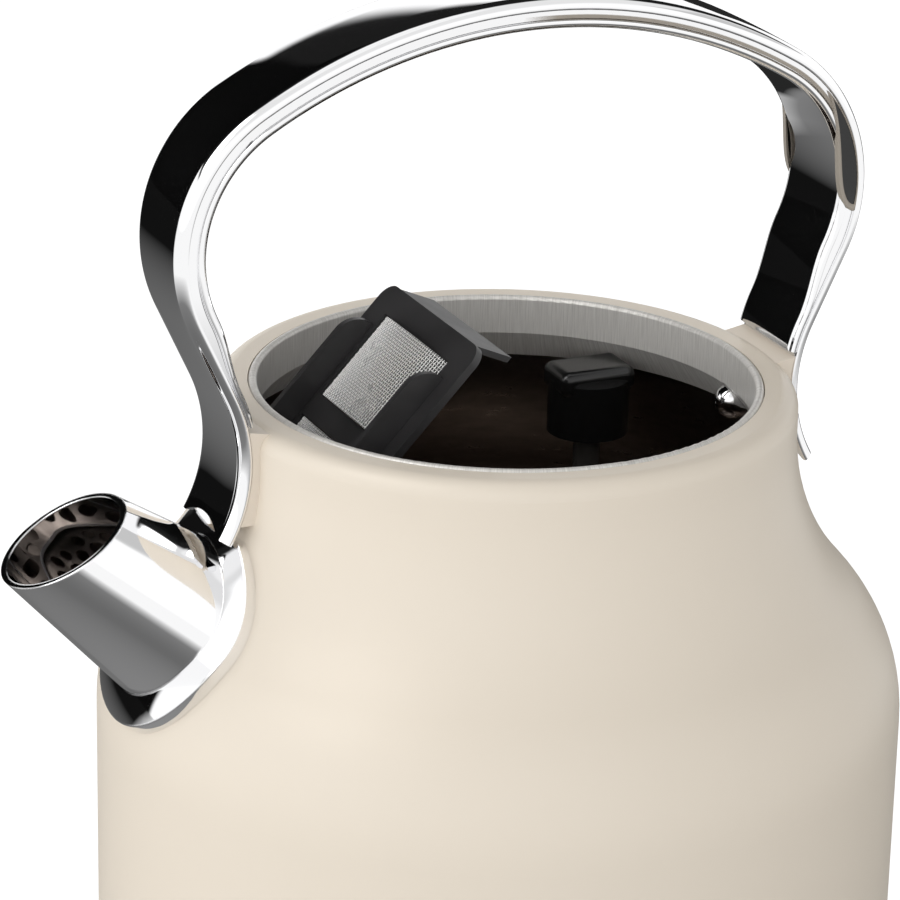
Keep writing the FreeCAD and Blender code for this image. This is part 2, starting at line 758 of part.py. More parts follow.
# --------------------------------------------------------------- handle
def arch(sketch, depth, foot_depth, end_z):
    """Chain of arcs from the rear foot over the top to the front foot, depth inside the
    handle's outer face; foot_depth is its depth at the feet, where it ends at end_z."""
    turn = num(minus("corner_r", depth))
    top = num(minus("arch_r", depth))
    foot = num("foot_r + " + foot_depth)
    corner = V(num("corner_x"), num("corner_z"), 0)
    heel = V(num("foot_x"), num("foot_z"), 0)
    gap = heel.sub(corner)
    low = math.atan2(gap.y, gap.x) + math.acos((turn + foot) / gap.Length)
    crown_z = corner.y - math.sqrt((top - turn) ** 2 - corner.x**2)
    high = math.atan2(corner.y - crown_z, corner.x)
    tip = math.pi - math.asin((num(end_z) - heel.y) / foot)
    knee = corner.add(V(math.cos(low), math.sin(low), 0).multiply(turn))
    ankle = heel.sub(V(math.cos(low), math.sin(low), 0).multiply(foot))
    left_knee = V(-knee.x, knee.y, 0)
    left_ankle = V(-ankle.x, ankle.y, 0)
    pi = math.pi
    add = sketch.addGeometry
    rear_foot = add(arc_about(heel, foot, low + pi, tip), False)
    rear_leg = add(Part.LineSegment(ankle, knee), False)
    rear_turn = add(arc_about(corner, turn, low, high), False)
    crown = add(arc_about(V(0, crown_z, 0), top, high, pi - high), False)
    front_turn = add(arc_about(V(-corner.x, corner.y, 0), turn, pi - high, pi - low), False)
    front_leg = add(Part.LineSegment(left_knee, left_ankle), False)
    front_foot = add(arc_about(V(-heel.x, heel.y, 0), foot, pi - tip, -low), False)
    for item, sign in ((rear_foot, ""), (front_foot, "-1*")):
        pin(sketch, item, 3, (sign + "foot_x", "foot_z"))
        radius(sketch, item, "foot_r + " + foot_depth)
    for item, sign in ((rear_turn, ""), (front_turn, "-1*")):
        pin(sketch, item, 3, (sign + "corner_x", "corner_z"))
        radius(sketch, item, minus("corner_r", depth))
    radius(sketch, crown, minus("arch_r", depth))
    tangent(sketch, (rear_foot, 1), (rear_leg, 1))
    tangent(sketch, (rear_leg, 2), (rear_turn, 1))
    tangent(sketch, (rear_turn, 2), (crown, 1))
    tangent(sketch, (crown, 2), (front_turn, 1))
    tangent(sketch, (front_turn, 2), (front_leg, 1))
    tangent(sketch, (front_leg, 2), (front_foot, 2))
    pin_y(sketch, rear_foot, 2, end_z)
    pin_y(sketch, front_foot, 1, end_z)
    reach = heel.x + foot * math.cos(tip)
    return (rear_foot, 2), (front_foot, 1), V(reach, num(end_z), 0)


def close_arch(sketch, outer, inner):
    """End lines that close two arches into one outline."""
    for side, sign in ((0, 1), (1, -1)):
        near = V(sign * outer[2].x, outer[2].y, 0)
        far = V(sign * inner[2].x, inner[2].y, 0)
        item = sketch.addGeometry(Part.LineSegment(near, far), False)
        join(sketch, outer[side], (item, 1))
        join(sketch, (item, 2), inner[side])


strap = new_body("strap_blank")
draft = new_sketch(strap, "XZ_Plane")
outer = arch(draft, "0*strap_t", "0*strap_t", "toe_z")
inner = arch(draft, "strap_t", "strap_t", "toe_z - toe_cut")
close_arch(draft, outer, inner)
pad = padded(strap, draft, "strap_w", middle=True)
doc.recompute()
draft = new_sketch(strap, "YZ_Plane")
circle(draft, "0", "toe_z - toe_cut + toe_arch_rise - toe_arch_r", "toe_arch_r")
pocket = pocketed(strap, draft, "2*foot_x", middle=True)
rounded(strap, pocket, "strap_bend")

grip = new_body("grip_blank")
draft = new_sketch(grip, "XZ_Plane")
outer = arch(draft, "strap_t", "strap_t", "grip_foot_z")
inner = arch(draft, "strap_t + grip_t", "strap_t + grip_low_t", "grip_foot_z")
close_arch(draft, outer, inner)
pad = padded(grip, draft, "strap_w", middle=True)
rounded(grip, pad, "grip_bend", num("grip_t + grip_t"))


def band(sketch, depth):
    """Part of the arch that the grip band follows, from its rear end to its front end."""
    turn = num(minus("corner_r", depth))
    top = num(minus("arch_r", depth))
    corner = V(num("corner_x"), num("corner_z"), 0)
    crown_z = corner.y - math.sqrt((top - turn) ** 2 - corner.x**2)
    high = math.atan2(corner.y - crown_z, corner.x)
    rear = math.asin((num("band_rear_z") - corner.y) / turn)
    front = math.pi - math.asin((num("band_front_z") - corner.y) / turn)
    rear_turn = sketch.addGeometry(arc_about(corner, turn, rear, high), False)
    crown = sketch.addGeometry(
        arc_about(V(0, crown_z, 0), top, high, math.pi - high), False
    )
    front_turn = sketch.addGeometry(
        arc_about(V(-corner.x, corner.y, 0), turn, math.pi - high, front), False
    )
    for item, sign in ((rear_turn, ""), (front_turn, "-1*")):
        pin(sketch, item, 3, (sign + "corner_x", "corner_z"))
        radius(sketch, item, minus("corner_r", depth))
    radius(sketch, crown, minus("arch_r", depth))
    tangent(sketch, (rear_turn, 2), (crown, 1))
    tangent(sketch, (crown, 2), (front_turn, 1))
    pin_y(sketch, rear_turn, 1, "band_rear_z")
    pin_y(sketch, front_turn, 2, "band_front_z")
    rear_end = corner.add(V(math.cos(rear), math.sin(rear), 0).multiply(turn))
    front_end = V(-corner.x + turn * math.cos(front), num("band_front_z"), 0)
    return (rear_turn, 1), (front_turn, 2), rear_end, front_end


liner = new_body("handle_grip_band")
draft = new_sketch(liner, "XZ_Plane")
outer = band(draft, "strap_t")
inner = band(draft, "strap_t + band_t")
for side in (0, 1):
    item = draft.addGeometry(Part.LineSegment(outer[side + 2], inner[side + 2]), False)
    join(draft, outer[side], (item, 1))
    join(draft, (item, 2), inner[side])
padded(liner, draft, "strap_w - 2*band_inset", middle=True)
strap.Label = "handle_outer_strap"
handle_inner_strap = boolean("Cut", "handle_inner_strap", grip, liner)

pad_blank = new_body("pad_blank")
draft = new_sketch(pad_blank, "XZ_Plane")


def at_foot(depth, level):
    """Distance from the centre line of the foot arc, depth inside the strap, at a level."""
    size = num("foot_r + " + depth)
    rise = num(level + " - foot_z")
    return num("foot_x") - math.sqrt(size * size - rise * rise)


def mirrored(name, item):
    """The same piece at the front foot."""
    copy = doc.addObject("Part::Mirroring", name)
    copy.Source = item
    copy.Normal = (1, 0, 0)
    copy.Base = (0, 0, 0)
    copy.Label = name
    return copy


size = num("foot_r + strap_t")
heel = V(num("foot_x"), num("foot_z"), 0)
low = V(at_foot("strap_t", "pad_low_z"), num("pad_low_z"), 0)
high = V(at_foot("strap_t", "pad_top_z"), num("pad_top_z"), 0)
inner_low = V(num("neck_r - 2*rim_round"), num("pad_low_z"), 0)
inner_high = V(num("neck_r - 2*rim_round"), num("rim_z - shell_t"), 0)
rise = math.asin((high.y - heel.y) / size)
dip = math.asin((low.y - heel.y) / size)
face = draft.addGeometry(arc_about(heel, size, math.pi - rise, math.pi - dip), False)
base = draft.addGeometry(Part.LineSegment(low, inner_low), False)
back = draft.addGeometry(Part.LineSegment(inner_low, inner_high), False)
slope = draft.addGeometry(Part.LineSegment(inner_high, high), False)
pin(draft, face, 3, ("foot_x", "foot_z"))
radius(draft, face, "foot_r + strap_t")
pin_y(draft, face, 1, "pad_top_z")
pin_y(draft, face, 2, "pad_low_z")
join(draft, (face, 2), (base, 1))
join(draft, (base, 2), (back, 1))
join(draft, (back, 2), (slope, 1))
join(draft, (slope, 2), (face, 1))
pin(draft, back, 1, ("neck_r - 2*rim_round", "pad_low_z"))
pin(draft, back, 2, ("neck_r - 2*rim_round", "rim_z - shell_t"))
padded(pad_blank, draft, "strap_w - 2*pad_inset", middle=True)
pad_cut = boolean("Cut", "pad_seated", pad_blank, surface)
pad_rear = boolean("Cut", "pad_rear", pad_cut, stud_bores)
saddle_pads = group("saddle_pads", [pad_rear, mirrored("pad_front", pad_rear)])

stud_blank = new_body("stud_blank")
draft = new_sketch(stud_blank, "XZ_Plane", ("0", "stud_z", "0"))
trace(
    draft,
    [
        ("nut_seat - nut_len", "0"),
        ("foot_x - foot_r - strap_t", "0"),
        ("foot_x - foot_r - strap_t", "stud_r"),
        ("nut_seat - nut_len", "stud_r"),
    ],
)
turned(stud_blank, draft, "H_Axis")
stud_rear = boolean("Cut", "stud_rear", stud_blank, strap)
handle_studs = group("handle_studs", [stud_rear, mirrored("stud_front", stud_rear)])

nut_blank = new_body("nut_blank")
draft = new_sketch(nut_blank, "XZ_Plane", ("0", "stud_z", "0"))
trace(
    draft,
    [
        ("nut_seat - nut_len - nut_r", "0"),
        ("nut_seat - nut_len", "0"),
        ("nut_seat - nut_len", "stud_r"),
        ("nut_seat", "stud_r"),
        ("nut_seat", "nut_r"),
        ("nut_seat - nut_len", "nut_r"),
    ],
    {5: ("nut_r", "left")},
)
turned(nut_blank, draft, "H_Axis")
nut_rear = boolean("Common", "nut_rear", nut_blank, pot_inside)
handle_nuts = group("handle_nuts", [nut_rear, mirrored("nut_front", nut_rear)])

# --------------------------------------------------------------- steam tube
steam_out = rod("steam_out", "steam_r", "steam_top_z - steam_low_z", "steam_x", "steam_y",
                "steam_low_z")
steam_in = rod("steam_in", "steam_bore", "steam_top_z - steam_low_z", "steam_x", "steam_y",
               "steam_low_z")
steam_tube = boolean("Cut", "steam_tube", steam_out, steam_in)

cap_body = new_body("cap_head")
draft = new_sketch(cap_body, "XY_Plane", ("steam_x", "steam_y", "steam_top_z"))
trace(
    draft,
    [
        ("-0.5*cap_len", "-0.5*cap_w"),
        ("0.5*cap_len", "-0.5*cap_w"),
        ("0.5*cap_len", "0.5*cap_w"),
        ("-0.5*cap_len", "0.5*cap_w"),
    ],
)
pad = padded(cap_body, draft, "cap_h")
rounded(cap_body, pad, "cap_bend")
cap_skirt = rod("cap_skirt", "cap_r", "cap_low + 0.5*cap_h", "steam_x", "steam_y",
                "steam_top_z - cap_low")
cap_whole = fuse("cap_whole", [cap_body, cap_skirt])
vent = block("cap_vent", "cap_len", "vent_w", "vent_h", "steam_x", "steam_y - 0.5*vent_w",
             "steam_top_z - 0.5*vent_h")
cap_open = boolean("Cut", "cap_open", cap_whole, vent)
steam_cap = boolean("Cut", "steam_cap", cap_open, steam_out)

# --------------------------------------------------------------- heater and electrics
heat_disc = rod("heat_disc", "plate_r", "plate_t", "0", "0", "floor_z - plate_t")
heat_plate = boolean("Cut", "heat_plate", heat_disc, steam_path)
heating_element = doc.addObject("Part::Torus", "heating_element")
heating_element.Label = "heating_element"
bind(heating_element, Radius1="coil_r", Radius2="coil_tube_r", Angle3="coil_sweep")
place(heating_element, "0", "0", "floor_z - plate_t - coil_tube_r")
control_unit = rod("control_unit", "unit_r", "floor_z - plate_t - socket_top_z", "0", "0",
                   "socket_top_z")
kettle_connector = ring(
    "kettle_connector",
    [
        ("socket_bore", "base_top_z + cover_lift"),
        ("socket_r", "base_top_z + cover_lift"),
        ("socket_r", "socket_top_z"),
        ("0", "socket_top_z"),
        ("0", "socket_top_z - socket_roof"),
        ("socket_bore", "socket_top_z - socket_roof"),
    ],
)

# --------------------------------------------------------------- lower body
lower_trim = ring(
    "lower_trim",
    [
        ("trim_in_r", "skirt_top_z"),
        ("trim_r - lever_bend", "skirt_top_z"),
        ("trim_r", "skirt_top_z + lever_bend"),
        ("trim_r", "shell_z - lever_bend"),
        ("trim_r - lever_bend", "shell_z"),
        ("trim_in_r", "shell_z"),
    ],
    {1: ("lever_bend", "left"), 3: ("lever_bend", "left")},
)
skirt = ring(
    "skirt_blank",
    [
        ("skirt_in_r", "base_top_z"),
        ("skirt_low_r", "base_top_z"),
        ("skirt_top_r", "skirt_top_z"),
        ("deck_r", "skirt_top_z"),
        ("deck_r", "skirt_top_z - deck_t"),
        ("skirt_in_r", "skirt_top_z - deck_t"),
    ],
)


def around(sketch, count, distance, size, start=0.0):
    """Circles evenly round the centre line."""
    for step in range(count):
        angle = math.radians(start + 360.0 * step / count)
        circle(
            sketch,
            "%.6f*%s" % (math.cos(angle), distance),
            "%.6f*%s" % (math.sin(angle), distance),
            size,
        )


COVER_Z = "base_top_z + cover_lift + cover_t"
doc.recompute()
draft = new_sketch(skirt, "XY_Plane", ("0", "0", COVER_Z))
around(draft, 3, "cover_screw_place", "post_r", 60)
padded(skirt, draft, minus("skirt_top_z - 0.5*deck_t", COVER_Z))
doc.recompute()
draft = new_sketch(skirt, "XY_Plane", ("0", "0", COVER_Z))
around(draft, 3, "cover_screw_place", "screw_r", 60)
pocketed(skirt, draft, "screw_deep", back=True)
slot = block("switch_slot", "0.5*body_r", "lever_w + 2*slot_side", "slot_top_z - slot_low_z",
             "pivot_x", "-0.5*lever_w - slot_side", "slot_low_z")
base_skirt = boolean("Cut", "base_skirt", skirt, slot)

cover = ring(
    "cover_blank",
    [
        ("socket_r + fit_gap", "base_top_z + cover_lift"),
        ("skirt_in_r - fit_gap", "base_top_z + cover_lift"),
        ("skirt_in_r - fit_gap", COVER_Z),
        ("socket_r + fit_gap", COVER_Z),
    ],
)
doc.recompute()
draft = new_sketch(cover, "XY_Plane", ("0", "0", "base_top_z + cover_lift"))
around(draft, 3, "cover_screw_place", "screw_r + fit_gap", 60)
pocketed(cover, draft, "cover_t", back=True)
cover.Label = "bottom_cover"


def screw(name, low, length):
    """Screw with its head under low and its shank above it."""
    body = new_body(name)
    sketch = new_sketch(body, "XZ_Plane")
    head_low = minus(low, "head_h")
    trace(
        sketch,
        [
            ("0", head_low),
            ("head_r", head_low),
            ("head_r", low),
            ("screw_r", low),
            ("screw_r", low + " + " + length),
            ("0", low + " + " + length),
        ],
    )
    turned(body, sketch)
    return body


def spread(name, item, count, distance, start, more=()):
    """Copies of an item round the centre line, as separate solids."""
    copies = []
    for step in range(count):
        angle = math.radians(start + 360.0 * step / count)
        copy = doc.addObject("App::Link", "%s_%d" % (name, step + 1))
        copy.LinkedObject = item
        copy.LinkTransform = True
        copy.setExpression("Placement.Base.x", "%.6f * Sizes.%s" % (math.cos(angle), distance))
        copy.setExpression("Placement.Base.y", "%.6f * Sizes.%s" % (math.sin(angle), distance))
        copies.append(copy)
    return group(name, copies + list(more))


cover_screw = screw("cover_screw", "base_top_z + cover_lift", "cover_t + screw_deep")
cover_screws = spread("cover_screws", cover_screw, 3, "cover_screw_place", 60)

# --------------------------------------------------------------- switch
EAR = "0.5*lever_w + ear_gap"
foot_block = block("bracket_foot", "3.5*lever_t", "lever_w + 2*ear_gap + 2*ear_t", "0.5*cover_t",
                   "pivot_x - 2*lever_t", minus("0", EAR + " + ear_t"), COVER_Z)
ears = []
for side, start in (("left", minus("0", EAR + " + ear_t")), ("right", EAR)):
    ears.append(
        block("ear_" + side, "2*lever_t", "ear_t", minus("pivot_z + lever_hub_r", COVER_Z),
              "pivot_x - lever_t", start, COVER_Z)
    )
PIN_END = minus("0", EAR + " + ear_t")
pin_rod = rod("switch_pin", "pin_r", "lever_w + 2*ear_gap + 2*ear_t", "pivot_x", PIN_END,
              "pivot_z", V(1, 0, 0), -90)
bracket = fuse("bracket_blank", [foot_block] + ears)
switch_bracket = boolean("Cut", "switch_bracket", bracket, pin_rod)

lever = new_body("lever_blank")
draft = new_sketch(lever, "XZ_Plane", ("pivot_x", "pivot_z", "0"))
trace(
    draft,
    [
        ("0", "0.5*lever_t"),
        ("0", "-0.5*lever_t"),
        ("lever_tip_x - pivot_x", "-0.5*lever_t"),
        ("lever_tip_x - pivot_x", "0.5*lever_t"),
    ],
)
pad = padded(lever, draft, "lever_w", middle=True)
rounded(lever, pad, "lever_bend")
hub = rod("lever_hub", "lever_hub_r", "lever_w", "pivot_x", "-0.5*lever_w", "pivot_z",
          V(1, 0, 0), -90)
pin_bore = rod("pin_bore", "pin_r + pin_gap", "2*lever_w", "pivot_x", "-1*lever_w", "pivot_z",
               V(1, 0, 0), -90)
lever_whole = fuse("lever_whole", [lever, hub])
LENS_X = "lever_tip_x - 2*lens_len"
lens_seat = block("lens_seat", "lens_len", "lens_w", "lens_t", LENS_X, "-0.5*lens_w",
                  "pivot_z + 0.5*lever_t - lens_t")
switch_lever = boolean(
    "Cut", "switch_lever", boolean("Cut", "lever_bored", lever_whole, pin_bore), lens_seat
)
indicator_lens = block("indicator_lens", "lens_len", "lens_w", "lens_t", LENS_X, "-0.5*lens_w",
                       "pivot_z + 0.5*lever_t - lens_t")

# --------------------------------------------------------------- power base
HUB_HOLE = "hub_r + fit_gap"
housing = ring(
    "housing_blank",
    [
        ("base_r", "foot_h"),
        ("base_r", "base_top_z - base_bend"),
        ("base_r - base_bend", "base_top_z"),
        (HUB_HOLE, "base_top_z"),
        (HUB_HOLE, "base_top_z - base_t"),
        ("base_r - base_t", "base_top_z - base_t"),
        ("base_r - base_t", "foot_h"),
    ],
    {1: ("base_bend", "left")},
)
TRAY_Z = "foot_h + tray_t"
doc.recompute()
draft = new_sketch(housing, "XY_Plane", ("0", "0", TRAY_Z))
around(draft, 4, "base_screw_place", "post_r", 0)
padded(housing, draft, minus("base_top_z - 0.5*base_t", TRAY_Z))
doc.recompute()
draft = new_sketch(housing, "XY_Plane", ("0", "0", TRAY_Z))
around(draft, 4, "base_screw_place", "screw_r", 0)
pocketed(housing, draft, "screw_deep", back=True)
gland_path = rod("gland_path", "gland_r", "4*base_t", "base_r - 2*base_t", "0", "gland_z",
                 V(0, 1, 0), 90)
base_housing = boolean("Cut", "base_housing", housing, gland_path)

tray = ring(
    "base_tray",
    [
        ("0", "foot_h"),
        ("base_r - base_t - fit_gap", "foot_h"),
        ("base_r - base_t - fit_gap", TRAY_Z),
        ("0", TRAY_Z),
    ],
)
doc.recompute()
draft = new_sketch(tray, "XY_Plane", ("0", "0", "foot_h"))
around(draft, 4, "base_screw_place", "screw_r + fit_gap", 0)
pocketed(tray, draft, "tray_t", back=True)

base_screw = screw("base_screw", "foot_h", "tray_t + screw_deep")
base_screws = spread("base_screws", base_screw, 4, "base_screw_place", 0)

foot = new_body("foot_blank")
draft = new_sketch(foot, "XZ_Plane")
trace(
    draft,
    [
        ("0", "0"),
        ("foot_pad_r - 0.5*foot_h", "0"),
        ("foot_pad_r", "foot_h"),
        ("0", "foot_h"),
    ],
)
turned(foot, draft)
base_feet = spread("base_feet", foot, 4, "base_screw_place", 45, [foot])

base_connector = ring(
    "base_connector",
    [
        ("0", TRAY_Z),
        ("hub_r", TRAY_Z),
        ("hub_r", "hub_top_z - hub_bend"),
        ("hub_r - hub_bend", "hub_top_z"),
        ("hub_bore", "hub_top_z"),
        ("hub_bore", "hub_top_z - hub_bore_deep"),
        ("0", "hub_top_z - hub_bore_deep"),
    ],
    {2: ("hub_bend", "left")},
)
centre_contact = rod("centre_contact", "probe_r", "probe_top_z - hub_top_z + hub_bore_deep",
                     "0", "0", "hub_top_z - hub_bore_deep")
sleeves = []
for step in (0, 1):
    level = "contact_low_z + %d*contact_step" % step
    sleeves.append(
        ring(
            "contact_ring_%d" % (step + 1),
            [
                ("hub_r", level),
                ("hub_r + contact_t", level),
                ("hub_r + contact_t", level + " + contact_h"),
                ("hub_r", level + " + contact_h"),
            ],
        )
    )
contact_rings = group("contact_rings", sleeves)

gland_blank = new_body("cord_gland")
draft = new_sketch(gland_blank, "XZ_Plane", ("0", "gland_z", "0"))
trace(
    draft,
    [
        ("base_r - base_t - gland_in", "gland_bore"),
        ("base_r + gland_out", "gland_bore"),
        ("base_r + gland_out", "gland_flange_r"),
        ("base_r", "gland_flange_r"),
        ("base_r", "gland_r"),
        ("base_r - base_t - gland_in", "gland_r"),
    ],
)
turned(gland_blank, draft, "H_Axis")
gland_blank.Label = "cord_gland"

# --------------------------------------------------------------- filter
def leaned(item):
    """Sets a filter piece on the filter's lower edge, leaning as the filter leans."""
    item.Placement = FreeCAD.Placement(
        V(0, 0, 0), FreeCAD.Rotation(V(0, 1, 0), num("filter_turn"))
    )
    item.setExpression("Placement.Rotation.Angle", link("filter_turn"))
    place(item, "filter_x", "0", "filter_z")


frame = new_body("frame_plate")
draft = new_sketch(frame, "YZ_Plane")
trace(
    draft,
    [
        ("-0.5*filter_w", "0"),
        ("0.5*filter_w", "0"),
        ("0.5*filter_w", "filter_len - filter_bend"),
        ("0.5*filter_w - filter_bend", "filter_len"),
        ("-0.5*filter_w + filter_bend", "filter_len"),
        ("-0.5*filter_w", "filter_len - filter_bend"),
    ],
    {2: ("filter_bend", "left"), 4: ("filter_bend", "left")},
)
for low_edge, high_edge in (("window_low", "window_mid_low"), ("window_mid_top", "window_top")):
    trace(
        draft,
        [
            ("-0.5*window_w", low_edge),
            ("0.5*window_w", low_edge),
            ("0.5*window_w", high_edge),
            ("-0.5*window_w", high_edge),
        ],
    )
padded(frame, draft, "filter_t")
for side, sign in (("left", "-1*"), ("right", "")):
    doc.recompute()
    draft = new_sketch(frame, "XZ_Plane", ("0", "0", sign + "rib_place"))
    trace(
        draft,
        [
            ("0.5*filter_t", "rib_low"),
            ("0.5*filter_t", "rib_top"),
            ("0", "rib_top"),
            ("-1*rib_h", "rib_top - rib_h"),
            ("-1*rib_h", "rib_low"),
        ],
        {2: ("rib_h", "left")},
    )
    padded(frame, draft, "rib_t", middle=True)
doc.recompute()
draft = new_sketch(frame, "XZ_Plane")
trace(
    draft,
    [
        ("0.5*filter_t", "filter_len - tab_t"),
        ("tab_len", "filter_len - tab_t + tab_rise"),
        ("tab_len", "filter_len + tab_rise"),
        ("0.5*filter_t", "filter_len"),
    ],
)
padded(frame, draft, "filter_w - 2*filter_bend", middle=True)
leaned(frame)
frame.Label = "filter_frame"


def mesh_panel(name, low_edge, high_edge):
    """Bulged panel between the sides of a window."""
    body = new_body(name)
    sketch = new_sketch(body, "XY_Plane", ("0", "0", low_edge))
    half = num("0.5*window_w")
    rise = num("mesh_rise")
    size = (half * half + rise * rise) / (2 * rise)
    thick = num("mesh_t")
    sweep = math.asin(half / size)
    centre = V(size - rise + num("0.5*filter_t"), 0, 0)
    front = sketch.addGeometry(
        arc_about(centre, size, math.pi - sweep, math.pi + sweep), False
    )
    behind = sketch.addGeometry(
        arc_about(centre.add(V(thick, 0, 0)), size, math.pi - sweep, math.pi + sweep), False
    )
    for end in (1, 2):
        sign = "" if end == 1 else "-1*"
        y = half if end == 1 else -half
        x = num("0.5*filter_t")
        side = sketch.addGeometry(Part.LineSegment(V(x, y, 0), V(x + thick, y, 0)), False)
        join(sketch, (front, end), (side, 1))
        join(sketch, (side, 2), (behind, end))
        pin(sketch, side, 1, ("0.5*filter_t", sign + "0.5*window_w"))
        pin(sketch, side, 2, ("0.5*filter_t + mesh_t", sign + "0.5*window_w"))
    bulge = sketch.addGeometry(Part.Point(V(num("0.5*filter_t - mesh_rise"), 0, 0)), True)
    pin(sketch, bulge, 1, ("0.5*filter_t - mesh_rise", "0"))
    sketch.addConstraint(Sketcher.Constraint("PointOnObject", bulge, 1, front))
    sketch.addConstraint(Sketcher.Constraint("Equal", front, behind))
    padded(body, sketch, high_edge + " - " + low_edge)
    leaned(body)
    return body


filter_mesh = group(
    "filter_mesh",
    [
        mesh_panel("mesh_upper", "window_mid_top", "window_top"),
        mesh_panel("mesh_lower", "window_low", "window_mid_low"),
    ],
)

seat_block = block("seat_block", "seat_front_x - seat_back_x", "seat_w",
                   "seat_top_z - seat_low_z", "seat_back_x", "-0.5*seat_w", "seat_low_z")
seat_path = block("seat_path", "filter_t + 2*seat_gap", "seat_w + seat_w", "filter_len",
                  "0", "0", "0")
seat_path.Placement = FreeCAD.Placement(
    V(0, 0, 0), FreeCAD.Rotation(V(0, 1, 0), num("filter_turn"))
)
seat_path.setExpression("Placement.Rotation.Angle", link("filter_turn"))
place(seat_path, "filter_x - seat_gap", "-1*seat_w", "filter_z - seat_gap")
seat_round = boolean("Common", "seat_round", seat_block, pot_inside)
seat_cut = boolean("Cut", "filter_seat", seat_round, seat_path)

# --------------------------------------------------------------- check and write
NODES = {
    "body_shell": body_shell,
    "neck_ring": neck_ring,
    "inner_pot": inner_pot,
    "spout": spout,
    "spout_collar": spout_collar,
    "spout_seal": spout_seal,
    "handle_outer_strap": strap,
    "handle_inner_strap": handle_inner_strap,
    "handle_grip_band": liner,
    "saddle_pads": saddle_pads,
    "handle_studs": handle_studs,
    "handle_nuts": handle_nuts,
    "steam_tube": steam_tube,
    "steam_cap": steam_cap,
    "heat_plate": heat_plate,
    "heating_element": heating_element,
    "control_unit": control_unit,
    "kettle_connector": kettle_connector,
    "lower_trim": lower_trim,
    "base_skirt": base_skirt,
    "bottom_cover": cover,
    "cover_screws": cover_screws,
    "switch_bracket": switch_bracket,
    "switch_pin": pin_rod,
    "switch_lever": switch_lever,
    "indicator_lens": indicator_lens,
    "base_housing": base_housing,
    "base_tray": tray,
    "base_screws": base_screws,
    "base_feet": base_feet,
    "base_connector": base_connector,
    "centre_contact": centre_contact,
    "contact_rings": contact_rings,
    "cord_gland": gland_blank,
    "filter_frame": frame,
    "filter_mesh": filter_mesh,
    "filter_seat": seat_cut,
}
doc.recompute()
for item in doc.Objects:
    if {"Invalid", "Error"} & set(item.State):
        raise RuntimeError("%s did not compute: %s" % (item.Label, item.State))
for node, item in NODES.items():
    shape = item.Shape
    if shape.isNull() or not shape.isValid() or not shape.Solids:
        raise RuntimeError("%s is not a sound solid" % node)
    shape.exportStep("parts/%s.step" % node)
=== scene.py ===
"""Electric kettle: finishes, fine pieces and studio around the fixed frame."""
import math

import bmesh
import bpy
from mathutils import Matrix, Vector


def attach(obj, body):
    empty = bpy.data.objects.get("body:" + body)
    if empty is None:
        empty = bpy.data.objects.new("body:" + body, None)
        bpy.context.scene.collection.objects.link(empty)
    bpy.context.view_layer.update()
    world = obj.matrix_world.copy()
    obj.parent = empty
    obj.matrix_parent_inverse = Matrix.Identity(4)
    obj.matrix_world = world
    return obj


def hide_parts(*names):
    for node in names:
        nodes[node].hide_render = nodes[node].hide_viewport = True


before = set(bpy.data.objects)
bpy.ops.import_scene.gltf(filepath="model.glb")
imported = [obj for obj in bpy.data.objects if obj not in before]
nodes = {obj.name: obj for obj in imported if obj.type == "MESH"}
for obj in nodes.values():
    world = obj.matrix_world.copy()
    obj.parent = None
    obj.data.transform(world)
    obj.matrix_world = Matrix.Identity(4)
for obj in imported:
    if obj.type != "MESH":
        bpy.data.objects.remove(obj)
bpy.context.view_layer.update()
MM = 0.001

# Handle, in mm. Its outer face is a crown arc, a corner arc, a straight leg and a hollow foot
# arc, all in the plane y = 0; the front half mirrors the rear half.
CORNER, CORNER_R = Vector((45.5, 0, 212.0)), 38.0
HEEL, HEEL_R = Vector((103.0, 0, 165.0)), 34.0
CROWN_R = 127.0
CROWN = Vector((0, 0, CORNER.z - math.sqrt((CROWN_R - CORNER_R) ** 2 - CORNER.x ** 2)))
HIGH = math.atan2(CORNER.z - CROWN.z, CORNER.x)
REACH = HEEL - CORNER
LOW = math.atan2(REACH.z, REACH.x) + math.acos((CORNER_R + HEEL_R) / REACH.length)
LEG_OUT = Vector((math.cos(LOW), 0, math.sin(LOW)))
KNEE = CORNER + LEG_OUT * CORNER_R
ANKLE = HEEL - LEG_OUT * HEEL_R

# Spout, in mm: the middle of its mouth, and how steeply it rises.
MOUTH, SPOUT_RISE, SPOUT_BORE_R = Vector((-105.7, 0, 148.5)), math.radians(39.9), 20.0

# Filter frame: its foot and its lean.
FILTER_AT = Vector((-60.4, 0, 144.3)) * MM
FILTER_TURN = Matrix.Rotation(math.radians(43.4), 4, "Y")


# ------------------------------------------------------------------ finishes
def link(tree, source, target):
    tree.links.new(source, target)


def add_node(tree, kind, operation=None, **inputs):
    node = tree.nodes.new(kind)
    if operation:
        node.operation = operation
    for name, value in inputs.items():
        key = int(name[1:]) if name[0] == "_" and name[1:].isdigit() else name.replace("_", " ")
        if isinstance(value, bpy.types.NodeSocket):
            link(tree, value, node.inputs[key])
        else:
            node.inputs[key].default_value = value
    return node


def times(tree, first, second):
    return add_node(tree, "ShaderNodeMath", "MULTIPLY", _0=first, _1=second).outputs[0]


def ranged(tree, value, start, end, low=0.0, high=1.0):
    """Socket that goes from low to high as the value goes from start to end."""
    return add_node(tree, "ShaderNodeMapRange", Value=value, From_Min=start, From_Max=end,
                    To_Min=low, To_Max=high).outputs[0]


